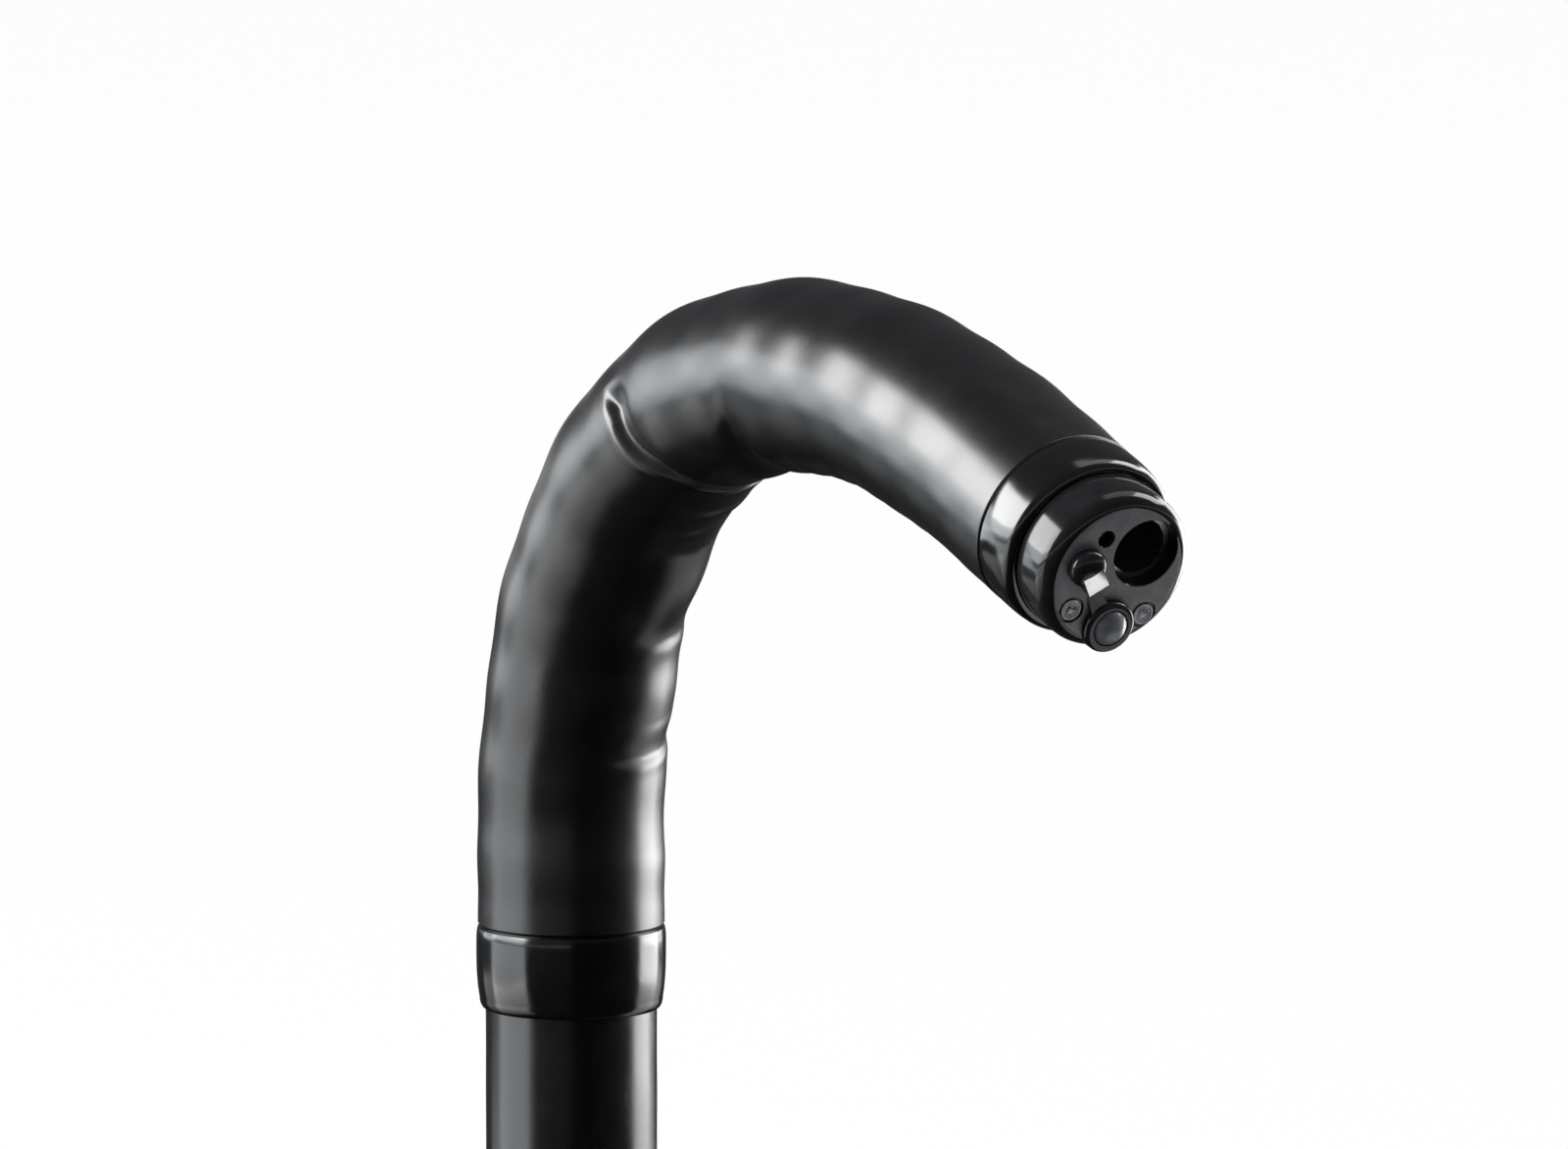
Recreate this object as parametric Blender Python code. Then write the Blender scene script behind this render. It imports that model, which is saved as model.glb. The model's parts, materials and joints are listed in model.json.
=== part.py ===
"""Bending end of a flexible endoscope: insertion tube, hinged bending section and distal tip.

Every shape is modelled in millimetres and put into metres when its object is made.
A station is a distance along the scope from the start of the bending section, positive
towards the tip, so the same stations serve the rigid rings and the flexible lines.
At rest the bending section is curled up towards +X, as its up control would hold it.
"""

import math

import bmesh
import bpy
from mathutils import Matrix, Vector

MM = 0.001

# Bending section
RING_PITCH = 4.2
FIRST_JOINT = 3.21
REST_BEND = (13.0, 21.0, 22.0, 20.5, 15.5, 11.0, 7.0)
KINK_HALF = 1.2
MOST_UP = 210.0
MOST_DOWN = 90.0
MOST_SIDE = 100.0

# Vertebra rings
RING_WALL = 0.25
LEAF_GAP = 0.12
LEAF_WALL = 0.25
LUG_RADIUS = 0.85
LUG_CLEARANCE = 0.15
EDGE_GAP = 0.1
STOP_MARGIN = 1.0
LEAF_HALF_WIDTH = 0.8
LEAF_LENGTH = 1.75
JOGGLE_START = 1.2
PIN_RADIUS = 0.4
PIN_CLEARANCE = 0.06
PIN_PROUD = 0.02

# Angulation wires and their guides
WIRE_RADIUS = 0.17
GUIDE_HOLE = 0.26
GUIDE_SKIN = 0.01
GUIDE_RADIUS = 0.42
GUIDE_CENTRE = 1.4
GUIDE_LENGTH = 0.6
WIRE_CRIMP_RADIUS = 0.34
WIRE_CRIMP_LENGTH = 0.4
SHEATH_RADIUS = 0.33
SHEATH_BORE = 0.22
SHEATH_GAP = 0.11
SHEATH_END = 1.0
WIRE_TURN_OUT = 0.6
WIRE_TURN_IN = 2.0

# Bending cover, its braid and the two bound and sealed ends
COVER_RADIUS = 4.5
COVER_WALL = 0.46
COVER_NECK_WALL = 0.36
NECK_LENGTH = 0.3
FIT_GAP = 0.04
SEAT_GAP = 0.08
BRAID_WALL = 0.1
BRAID_START = 0.5
BRAID_SHORT_OF_NECK = 1.2
RING_GAP = 0.18
COVER_PAST_RING = 0.65
PROXIMAL_BAND_RADIUS = 4.57
PROXIMAL_BAND_LENGTH = 4.1
PROXIMAL_BAND_PEAK = 0.7
PROXIMAL_BAND_DROPS = (0.27, 0.12)
DISTAL_BAND_RADIUS = 4.5
DISTAL_BAND_LENGTH = 2.6
DISTAL_BAND_PEAK = 1.55
DISTAL_BAND_DROPS = (0.14, 0.2)
BAND_ROUNDNESS = 3
BAND_STEPS = 6
BAND_GAP = 0.1

# Insertion tube
TUBE_LENGTH = 24.0
JACKET_RADIUS = 4.125
JACKET_WALL = 0.475
TUBE_BRAID_WALL = 0.14
COIL_WALL = 0.26
COIL_WIDTH = 2.0
COIL_PITCH = 2.9
FERRULE_REACH = 9.1
FERRULE_COLLAR_END = 0.6
FERRULE_WALL = 0.3
FERRULE_TAPER = 0.4
COIL_SHORT_OF_STEP = 1.0
LINE_RECESS = 0.2
PROXIMAL_FERRULE_LENGTH = 7.0
PROXIMAL_SPIGOT_LENGTH = 3.6
PROXIMAL_SPIGOT_RADIUS = 3.9
PROXIMAL_SLEEVE_RADIUS = 4.5
PROXIMAL_SCREW_HOLE = 0.5
PROXIMAL_SCREWS_AT = 1.26
PROXIMAL_SCREWS = 3
PROXIMAL_GROOVE_AT = 2.52
PROXIMAL_GROOVE_WIDTH = 0.5
PROXIMAL_GROOVE_DEPTH = 0.25
PROXIMAL_EDGE = 0.15
PROXIMAL_LIP = 0.2
PROXIMAL_SLEEVE_TAPER = 0.5

# Distal tip
HOOD_RADIUS = 3.95
HOOD_LENGTH = 2.45
HOOD_WALL = 0.33
HOOD_FRONT_WALL = 0.8
HOOD_EDGE = 0.45
HOOD_REAR_EDGE = 0.1
DISTAL_RING_LENGTH = 6.19
BLOCK_SPIGOT_LENGTH = 2.0
CHANNEL_AT_TIP = (-0.95, 1.32)
CHANNEL_MOUTH = 1.66
OBJECTIVE_AT = (2.62, -0.05)
OBJECTIVE_RADIUS = 0.85
OBJECTIVE_DOME = 0.42
BOSS_RADIUS = 1.32
BOSS_HEIGHT = 0.45
BOSS_EDGE = 0.1
BARREL_RADIUS = 0.82
BARREL_WALL = 0.14
FRONT_LENS_SEAT = 0.15
REAR_LENS_DEPTH = 1.05
REAR_LENS_EDGES = (0.25, 0.2)
REAR_LENS_LENGTH = 1.35
REAR_LENS_FACES = (0.7, 0.9)
SENSOR_HALF = 0.45
SENSOR_LENGTH = 1.6
LIGHT_LEFT_AT = (1.7, -2.15)
LIGHT_RIGHT_AT = (2.25, 1.87)
LIGHT_RADIUS = 0.52
LIGHT_SEAT_RADIUS = 0.62
LIGHT_SEAT_DEPTH = 0.12
LIGHT_RECESS = 0.05
LIGHT_EDGE = 0.1
LIGHT_TAIL = 0.2
NOZZLE_AT = (-0.2, -1.67)
NOZZLE_RADIUS = 0.82
NOZZLE_HEIGHT = 1.15
NOZZLE_SHANK = 0.55
NOZZLE_FACE = 0.3
NOZZLE_DOME = 0.5
NOZZLE_TAIL = 0.6
NOZZLE_BORE = 0.34
SLOT_HALF = 0.42
SLOT_LOW = 0.12
SLOT_HEIGHT = 0.3
RAMP_HALF = (0.5, 0.75)
RAMP_RISE = (0.02, 0.4)
RAMP_GAPS = (0.25, 0.15)
RAMP_ROOT = 0.3
MANIFOLD_HALF = (0.95, 0.42)
MANIFOLD_BORE = 0.22
GALLERY_RADIUS = 0.17
GALLERY_HEIGHT = 0.75
OUTLET_GAP = 0.05
JET_AT_TIP = (-1.85, -1.0)
JET_HOLE = 0.4

# Lines inside: place in the bending section, outer radius and bore
CHANNEL_AT = (-0.82, 0.82)
CHANNEL_RADIUS = 1.65
CHANNEL_BORE = 1.4
CABLE_AT = (1.45, 0.1)
CABLE_RADIUS = 0.75
CABLE_END_RADIUS = 0.45
GUIDE_LEFT_AT = (1.45, -1.5)
GUIDE_RIGHT_AT = (1.35, 1.65)
BUNDLE_RADIUS = 0.42
BUNDLE_FERRULE_WALL = 0.08
AIR_AT = (0.27, -1.6)
WATER_AT = (-0.85, -1.45)
JET_AT = (-1.9, -1.05)
FLUID_TUBE_RADIUS = 0.5
FLUID_TUBE_BORE = 0.34
JET_TUBE_RADIUS = 0.45
SPIGOT_WALL = 0.08
SPIGOT_GAP = 0.1
SPIGOT_LENGTH = 1.4
PIPE_SPIGOT_LENGTH = 0.4
PIPE_TAPER = 0.2
PAST = 0.5

# Facets
ROUND_SIDES = 24
HIDDEN_SIDES = 16
COVER_SIDES = 16
PIN_SIDES = 8
GUIDE_SIDES = 6
CHANNEL_SIDES = 10
LINE_SIDES = 8
BUNDLE_SIDES = 6
FLUID_SIDES = 5
WIRE_SIDES = 5
COIL_STEPS = 12

# Sizes that follow from the ones above
JOINT_COUNT = 2 * len(REST_BEND)
COVER_BORE = COVER_RADIUS - COVER_WALL
BRAID_RADIUS = COVER_BORE - FIT_GAP
RING_RADIUS = BRAID_RADIUS - BRAID_WALL - RING_GAP
RING_BORE = RING_RADIUS - RING_WALL
LEAF_RADIUS = RING_BORE - LEAF_GAP
WIRE_CIRCLE = LEAF_RADIUS - LEAF_WALL - GUIDE_HOLE - GUIDE_SKIN
TIP_JOINT = FIRST_JOINT + (JOINT_COUNT - 1) * RING_PITCH
UP_STOP = max(REST_BEND) * MOST_UP / sum(REST_BEND) / 2 + STOP_MARGIN
DOWN_STOP = max(REST_BEND) * MOST_DOWN / sum(REST_BEND) / 2 + STOP_MARGIN
SIDE_STOP = MOST_SIDE / len(REST_BEND) / 2 + STOP_MARGIN
NECK_BORE = (RING_RADIUS + FIT_GAP) / math.cos(math.pi / COVER_SIDES)
NECK_RADIUS = NECK_BORE + COVER_NECK_WALL
BAND_BORE = NECK_RADIUS + SEAT_GAP
DISTAL_RING_END = TIP_JOINT + DISTAL_RING_LENGTH
BLOCK_START = DISTAL_RING_END - BLOCK_SPIGOT_LENGTH
COVER_VISIBLE = DISTAL_RING_END + COVER_PAST_RING
BAND_END = COVER_VISIBLE + DISTAL_BAND_LENGTH
HOOD_START = BAND_END + BAND_GAP
TIP_FACE = HOOD_START + HOOD_LENGTH
HOOD_BORE = HOOD_RADIUS - HOOD_WALL
HOOD_INSIDE = TIP_FACE - HOOD_FRONT_WALL
JACKET_BORE = JACKET_RADIUS - JACKET_WALL
TUBE_BRAID_RADIUS = JACKET_BORE - 2 * FIT_GAP
COIL_RADIUS = TUBE_BRAID_RADIUS - TUBE_BRAID_WALL - 2 * FIT_GAP
COIL_BORE = COIL_RADIUS - COIL_WALL
SHEATH_CIRCLE = COIL_BORE - SHEATH_RADIUS - SHEATH_GAP
JACKET_START = PROXIMAL_SPIGOT_LENGTH + BAND_GAP - TUBE_LENGTH
JACKET_END = BAND_GAP + FIT_GAP - PROXIMAL_BAND_LENGTH
LINE_START = LINE_RECESS - TUBE_LENGTH


def material(name, colour, roughness, metallic=0.0):
    """A plain Principled material."""
    made = bpy.data.materials.new(name)
    made.use_nodes = True
    shader = made.node_tree.nodes["Principled BSDF"]
    shader.inputs["Base Color"].default_value = (*colour, 1.0)
    shader.inputs["Roughness"].default_value = roughness
    shader.inputs["Metallic"].default_value = metallic
    return made


def joint_station(index):
    """Where a joint lies along the scope. Even joints swing left and right, odd ones up and down."""
    return FIRST_JOINT + index * RING_PITCH


def joint_bend(index):
    """How far a joint is turned at rest, in radians about +Y."""
    return math.radians(REST_BEND[index // 2]) if index % 2 else 0.0


def straight_frame(station, bent_before=JOINT_COUNT):
    """Frame of the rigid chain at a station, with only the joints before bent_before turned."""
    frame = Matrix.Translation((0, 0, TUBE_LENGTH))
    last = 0.0
    for index in range(JOINT_COUNT):
        here = joint_station(index)
        if here > station or index >= bent_before:
            break
        turn = Matrix.Rotation(joint_bend(index), 4, "Y")
        frame = frame @ Matrix.Translation((0, 0, here - last)) @ turn
        last = here
    return frame @ Matrix.Translation((0, 0, station - last))


def bent_frame(station):
    """Frame of the flexible lines, which cut the corner at a turned joint between two mitred sections."""
    frame = straight_frame(station)
    for index in range(1, JOINT_COUNT, 2):
        past = station - joint_station(index)
        if abs(past) <= KINK_HALF * 1.01:
            share = 0.25 if past < 0 else -0.25
            frame = frame @ Matrix.Rotation(joint_bend(index) * share, 4, "Y")
    return frame


def bend_stations(start, end):
    """The stations between two ends at which a flexible line changes direction."""
    found = [start]
    for index in range(1, JOINT_COUNT, 2):
        middle = joint_station(index)
        found += [s for s in (middle - KINK_HALF, middle + KINK_HALF) if start < s < end]
    return found + [end]


def mesh_object(name, shape, look=None, frame=None, parent=None):
    """An object in metres from a bmesh in millimetres."""
    bmesh.ops.recalc_face_normals(shape, faces=shape.faces)
    mesh = bpy.data.meshes.new(name)
    shape.to_mesh(mesh)
    shape.free()
    return place(name, mesh, look, frame, parent)


def place(name, mesh, look=None, frame=None, parent=None):
    """An object in metres from a mesh in millimetres, at a frame whose place is in millimetres."""
    mesh.transform(Matrix.Scale(MM, 4))
    mesh.shade_smooth()
    mesh.set_sharp_from_angle(angle=math.radians(32))
    mesh.materials.clear()
    mesh.materials.append(look)
    thing = bpy.data.objects.new(name, mesh)
    bpy.context.collection.objects.link(thing)
    set_frame(thing, frame or Matrix.Identity(4), parent)
    return thing


def set_frame(thing, frame, parent=None):
    """Puts an object at a frame in millimetres, inside its parent if it has one."""
    spot = frame.copy()
    spot.translation *= MM
    thing.parent = parent
    thing.matrix_basis = spot


def loft(rings, closed_loop):
    """Skin over rings of points, joined head to tail when closed_loop, otherwise capped at both ends."""
    shape = bmesh.new()
    rows = [[shape.verts.new(point) for point in ring] for ring in rings]
    last = len(rows) if closed_loop else len(rows) - 1
    for index in range(last):
        near, far = rows[index], rows[(index + 1) % len(rows)]
        for side in range(len(near)):
            after = (side + 1) % len(near)
            shape.faces.new((near[side], near[after], far[after], far[side]))
    if not closed_loop:
        shape.faces.new(rows[0])
        shape.faces.new(rows[-1])
    return shape


def circle(radius, sides, centre=(0.0, 0.0), z=0.0, turn=0.0):
    """Points round a circle in a plane of constant z."""
    angles = [2 * math.pi * (side + turn) / sides for side in range(sides)]
    return [Vector((centre[0] + radius * math.cos(a), centre[1] + radius * math.sin(a), z)) for a in angles]


def turned(profile, sides=ROUND_SIDES, centre=(0.0, 0.0), hollow=True):
    """A turned piece. A hollow profile goes out along one face and back along the bore."""
    rings = [circle(radius, sides, centre, z) for radius, z in profile]
    return loft(rings, hollow)


def tube(outer, bore, start, end, sides=ROUND_SIDES, centre=(0.0, 0.0)):
    """A straight tube along z."""
    return turned([(outer, start), (outer, end), (bore, end), (bore, start)], sides, centre)


def rod(radius, start, end, sides=LINE_SIDES, centre=(0.0, 0.0)):
    """A straight rod along z."""
    return turned([(radius, start), (radius, end)], sides, centre, hollow=False)


def rod_along(radius, sides, start, end):
    """A rod between two points."""
    shape = rod(radius, 0.0, (end - start).length, sides)
    spin = (end - start).to_track_quat("Z", "Y").to_matrix().to_4x4()
    shape.transform(Matrix.Translation(start) @ spin)
    return shape


def box(low, high):
    """A box between two corners."""
    corners = [(low[0], low[1]), (high[0], low[1]), (high[0], high[1]), (low[0], high[1])]
    return loft([[Vector((x, y, z)) for x, y in corners] for z in (low[2], high[2])], False)


def cut_or_join(base, tools, operation):
    """Joins tools to a bmesh, or cuts them from it, with the exact solver, and frees them."""
    for tool in tools:
        made = []
        for part in (base, tool):
            bmesh.ops.recalc_face_normals(part, faces=part.faces)
            mesh = bpy.data.meshes.new("working")
            part.to_mesh(mesh)
            part.free()
            thing = bpy.data.objects.new("working", mesh)
            bpy.context.collection.objects.link(thing)
            made.append(thing)
        step = made[0].modifiers.new("step", "BOOLEAN")
        step.operation = operation
        step.solver = "EXACT"
        step.object = made[1]
        graph = bpy.context.evaluated_depsgraph_get()
        result = bpy.data.meshes.new_from_object(made[0].evaluated_get(graph))
        base = bmesh.new()
        base.from_mesh(result)
        for thing in made:
            bpy.data.objects.remove(thing)
    return base


def union(base, *tools):
    return cut_or_join(base, tools, "UNION")


def cut(base, *tools):
    return cut_or_join(base, tools, "DIFFERENCE")


def smooth(share):
    """Eased share between 0 and 1."""
    share = min(max(share, 0.0), 1.0)
    return share * share * (3 - 2 * share)


def route(start, *turns):
    """Place in the cross-section by station: (from, to, new place) for each sideways shift."""
    def at(station):
        spot = Vector(start)
        for begin, end, target in turns:
            spot = spot.lerp(Vector(target), smooth((station - begin) / (end - begin)))
        return spot
    return at


def flexible(stations, at, outer, bore, sides):
    """A line swept along the bending section. Radii are numbers or functions of the station."""
    def ring(station, size):
        radius = size(station) if callable(size) else size
        frame = bent_frame(station)
        return [frame @ point for point in circle(radius, sides, at(station))]

    rings = [ring(station, outer) for station in stations]
    if bore is None:
        return loft(rings, False)
    return loft(rings + [ring(station, bore) for station in reversed(stations)], True)


def edge_height(offset, axis):
    """How far a ring's edge stands back from the hinge, offset from it on the side that closes."""
    if axis == "X":
        stop = SIDE_STOP
    else:
        stop = UP_STOP if offset > 0 else DOWN_STOP
    return EDGE_GAP + abs(offset) * math.tan(math.radians(stop))


def hinge_offset(azimuth, axis):
    """Distance of a point on the ring from the hinge's axis."""
    return RING_RADIUS * (math.cos(azimuth) if axis == "Y" else math.sin(azimuth))


def near_lug(azimuth, axis):
    """Whether a point on the ring is beside one of the hinge's two lugs."""
    return abs(hinge_offset(azimuth, axis)) < LUG_RADIUS + LUG_CLEARANCE


def low_edge(azimuth, axis):
    """Lower edge of a ring's wall, measured from the hinge below, round the neighbour's lug."""
    offset = hinge_offset(azimuth, axis)
    reach = LUG_RADIUS + LUG_CLEARANCE
    height = edge_height(offset, axis)
    if near_lug(azimuth, axis):
        height = max(height, math.sqrt(reach * reach - offset * offset))
    return height


def high_edge(azimuth, axis):
    """Upper edge of a ring's wall, measured from the hinge above, with its two round lugs."""
    offset = hinge_offset(azimuth, axis)
    if abs(offset) < LUG_RADIUS + 0.001:
        return math.sqrt(max(LUG_RADIUS * LUG_RADIUS - offset * offset, 0.0))
    return -edge_height(offset, axis)


def lug_azimuths(axis, offsets):
    """Azimuths at the given distances either side of both lugs of a hinge."""
    middle = math.pi / 2 if axis == "Y" else 0.0
    steps = [math.asin(offset / RING_RADIUS) for offset in offsets]
    spread = steps + [-step for step in steps]
    return [middle + half + step for half in (0.0, math.pi) for step in spread]


def wall_between(azimuths, low, high, outer, bore):
    """A closed sheet-metal band whose two edges are functions of the azimuth."""
    rings = []
    for azimuth in azimuths:
        way = Vector((math.cos(azimuth), math.sin(azimuth), 0))
        bottom, top = Vector((0, 0, low(azimuth))), Vector((0, 0, high(azimuth)))
        rings.append([way * outer + bottom, way * outer + top, way * bore + top, way * bore + bottom])
    return rings


def ring_wall(low_axis, high_axis, low_end, high_end):
    """Wall of a ring. An end without a hinge is square, at low_end or high_end."""
    azimuths = [math.radians(90 * quarter + step) for quarter in range(4) for step in (36, 54)]
    beside = LUG_RADIUS + LUG_CLEARANCE
    if high_axis:
        azimuths += lug_azimuths(high_axis, (LUG_RADIUS / 2, LUG_RADIUS, beside))
    if low_axis:
        azimuths += lug_azimuths(low_axis, (LUG_RADIUS / 2, beside))
    if not high_axis:
        azimuths += lug_azimuths("X", (LUG_RADIUS,))
    if not low_axis:
        azimuths += lug_azimuths("Y", (LUG_RADIUS,))
    azimuths = sorted(azimuth % (2 * math.pi) for azimuth in azimuths)
    low = (lambda a: low_edge(a, low_axis)) if low_axis else (lambda a: low_end)
    high = (lambda a: high_end + high_edge(a, high_axis)) if high_axis else (lambda a: high_end)
    return loft(wall_between(azimuths, low, high, RING_RADIUS, RING_BORE), True)


def hinge_leaf(azimuth):
    """The inner leaf of a hinge with its joggle, its pin and the wire guide behind it."""
    inner = LEAF_RADIUS - LEAF_WALL
    root = RING_BORE + RING_WALL / 2
    half = math.asin(LEAF_HALF_WIDTH / LEAF_RADIUS)
    sections = []
    for share, bottom in ((-1, 0.0), (-0.5, -0.86), (0.5, -0.86), (1, 0.0)):
        low = bottom * LEAF_HALF_WIDTH
        outline = ((inner, low), (LEAF_RADIUS, low), (LEAF_RADIUS, JOGGLE_START), (root, JOGGLE_START),
                   (root, LEAF_LENGTH), (inner, LEAF_LENGTH))
        turn = azimuth + share * half
        way = Vector((math.cos(turn), math.sin(turn), 0))
        sections.append([way * radius + Vector((0, 0, z)) for radius, z in outline])
    way = Vector((math.cos(azimuth), math.sin(azimuth), 0))
    start, end = way * (LEAF_RADIUS - LEAF_WALL / 2), way * (RING_RADIUS + PIN_PROUD)
    pin = rod_along(PIN_RADIUS, PIN_SIDES, start, end)
    low = GUIDE_CENTRE - GUIDE_LENGTH / 2
    guide = rod(GUIDE_RADIUS, low, low + GUIDE_LENGTH, GUIDE_SIDES, way.xy * WIRE_CIRCLE)
    return union(loft(sections, False), pin, guide)


def hinge_azimuths(axis):
    return (math.pi / 2, -math.pi / 2) if axis == "Y" else (0.0, math.pi)


def hinged_ring(low_axis, high_axis, low_end=0.0, high_end=RING_PITCH):
    """A ring with inner leaves and pins below and drilled outer lugs above."""
    shape = ring_wall(low_axis, high_axis, low_end, high_end)
    if low_axis:
        for azimuth in hinge_azimuths(low_axis):
            shape = union(shape, hinge_leaf(azimuth))
            centre = (math.cos(azimuth) * WIRE_CIRCLE, math.sin(azimuth) * WIRE_CIRCLE)
            low, high = GUIDE_CENTRE - GUIDE_LENGTH, GUIDE_CENTRE + GUIDE_LENGTH
            hole = rod(GUIDE_HOLE, low, high, GUIDE_SIDES, centre)
            shape = cut(shape, hole)
    if high_axis:
        up = Vector((0, 0, high_end))
        for azimuth in hinge_azimuths(high_axis):
            way = Vector((math.cos(azimuth), math.sin(azimuth), 0))
            start, end = way * (RING_BORE - PAST) + up, way * (RING_RADIUS + PAST) + up
            shape = cut(shape, rod_along(PIN_RADIUS + PIN_CLEARANCE, PIN_SIDES, start, end))
    bmesh.ops.dissolve_limit(shape, angle_limit=math.radians(0.5), verts=shape.verts, edges=shape.edges)
    return shape


def make_rings(steel, tip):
    """The base ring, the vertebrae and the ring that carries the tip."""
    base_low = JACKET_END - joint_station(0)
    base = hinged_ring(None, "X", base_low, 0.0)
    mesh_object("base_coupling_ring", base, steel, straight_frame(joint_station(0)))
    shared = {}
    for index in range(JOINT_COUNT - 1):
        low_axis, high_axis = ("Y", "X") if index % 2 else ("X", "Y")
        name = f"vertebra_{index + 1:02d}"
        frame = straight_frame(joint_station(index))
        if low_axis not in shared:
            shared[low_axis] = mesh_object(name, hinged_ring(low_axis, high_axis), steel, frame).data
            continue
        copy = bpy.data.objects.new(name, shared[low_axis])
        bpy.context.collection.objects.link(copy)
        set_frame(copy, frame)
    last = hinged_ring("Y", None, 0.0, DISTAL_RING_END - TIP_JOINT)
    mesh_object("distal_coupling_ring", last, steel, None, tip)


def make_cover(rubber, braid_look):
    """The rubber cover, necked where it is bound at both ends, and the braid under it."""
    start, end = BAND_GAP * 3 - PROXIMAL_BAND_LENGTH, BAND_END - BAND_GAP
    low, high = NECK_LENGTH / 3, COVER_VISIBLE + NECK_LENGTH / 3

    def neck(station):
        return smooth(min(station - low + NECK_LENGTH, high - station) / NECK_LENGTH)

    def outer(station):
        return NECK_RADIUS + (COVER_RADIUS - NECK_RADIUS) * neck(station)

    def bore(station):
        return NECK_BORE + (COVER_BORE - NECK_BORE) * neck(station)

    centre = route((0, 0))
    full = bend_stations(low, high - NECK_LENGTH)
    stations = [start, low - NECK_LENGTH] + full + [high, end]
    mesh_object("bending_cover", flexible(stations, centre, outer, bore, COVER_SIDES), rubber)
    braid_run = bend_stations(BRAID_START, COVER_VISIBLE - BRAID_SHORT_OF_NECK)
    braid = flexible(braid_run, centre, BRAID_RADIUS, BRAID_RADIUS - BRAID_WALL, COVER_SIDES)
    mesh_object("bending_braid", braid, braid_look)


def crowned_band(radius, low, high, peak, drops):
    """Thread under a crowned coat: full at the peak, and lower by the two drops at its ends."""
    profile = [(BAND_BORE, low)]
    for z in steps_between(low, high, BAND_STEPS):
        drop, end = (drops[0], low) if z < peak else (drops[1], high)
        profile.append((radius - drop * abs((z - peak) / (end - peak)) ** BAND_ROUNDNESS, z))
    return turned(profile + [(BAND_BORE, high)])


def make_bands(epoxy, base, tip):
    """The bound and sealed ends of the cover: thread under a crowned coat of epoxy."""
    low, high = -PROXIMAL_BAND_LENGTH, -BAND_GAP * 2
    band = crowned_band(PROXIMAL_BAND_RADIUS, low, high, high - PROXIMAL_BAND_PEAK, PROXIMAL_BAND_DROPS)
    mesh_object("proximal_binding_band", band, epoxy, None, base)
    low, high = COVER_VISIBLE + BAND_GAP, BAND_END
    band = crowned_band(DISTAL_BAND_RADIUS, low, high, high - DISTAL_BAND_PEAK, DISTAL_BAND_DROPS)
    mesh_object("distal_binding_band", band, epoxy, tip_frame(), tip)


def make_insertion_tube(looks, base):
    """The flexible tube below the bending section and the ferrules soldered to its two ends."""
    jacket = tube(JACKET_RADIUS, JACKET_BORE, JACKET_START, JACKET_END)
    mesh_object("insertion_tube_jacket", jacket, looks["jacket"], None, base)
    outer, end = TUBE_BRAID_RADIUS, -FERRULE_REACH - BAND_GAP
    braid = tube(outer, outer - TUBE_BRAID_WALL, JACKET_START, end, HIDDEN_SIDES)
    mesh_object("insertion_tube_braid", braid, looks["braid"], None, base)
    mesh_object("insertion_tube_coil", flex_coil(), looks["steel"], None, base)
    step = JACKET_END - BAND_GAP
    inside = COIL_RADIUS + SEAT_GAP
    upper = RING_BORE - SEAT_GAP
    bore, taper = upper - FERRULE_WALL, step - COIL_SHORT_OF_STEP + BAND_GAP
    profile = [(TUBE_BRAID_RADIUS, -FERRULE_REACH), (TUBE_BRAID_RADIUS, step), (upper, step),
               (upper, -FERRULE_COLLAR_END), (bore, -FERRULE_COLLAR_END), (bore, taper + FERRULE_TAPER),
               (inside, taper), (inside, -FERRULE_REACH)]
    mesh_object("distal_tube_ferrule", turned(profile, HIDDEN_SIDES), looks["steel"], None, base)
    mesh_object("proximal_ferrule", proximal_ferrule(), looks["steel"], None, base)


def flex_coil():
    """Flat steel strip wound into the helix that keeps the tube round."""
    start = JACKET_START
    end = JACKET_END - BAND_GAP - COIL_SHORT_OF_STEP - COIL_WIDTH
    turns = (end - start) / COIL_PITCH
    steps = int(turns * COIL_STEPS)
    rings = []
    for step in range(steps + 1):
        angle = 2 * math.pi * turns * step / steps
        z = start + (end - start) * step / steps
        way = Vector((math.cos(angle), math.sin(angle), 0))
        top = z + COIL_WIDTH
        corners = ((COIL_BORE, z), (COIL_RADIUS, z), (COIL_RADIUS, top), (COIL_BORE, top))
        rings.append([way * radius + Vector((0, 0, height)) for radius, height in corners])
    return loft(rings, False)


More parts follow.
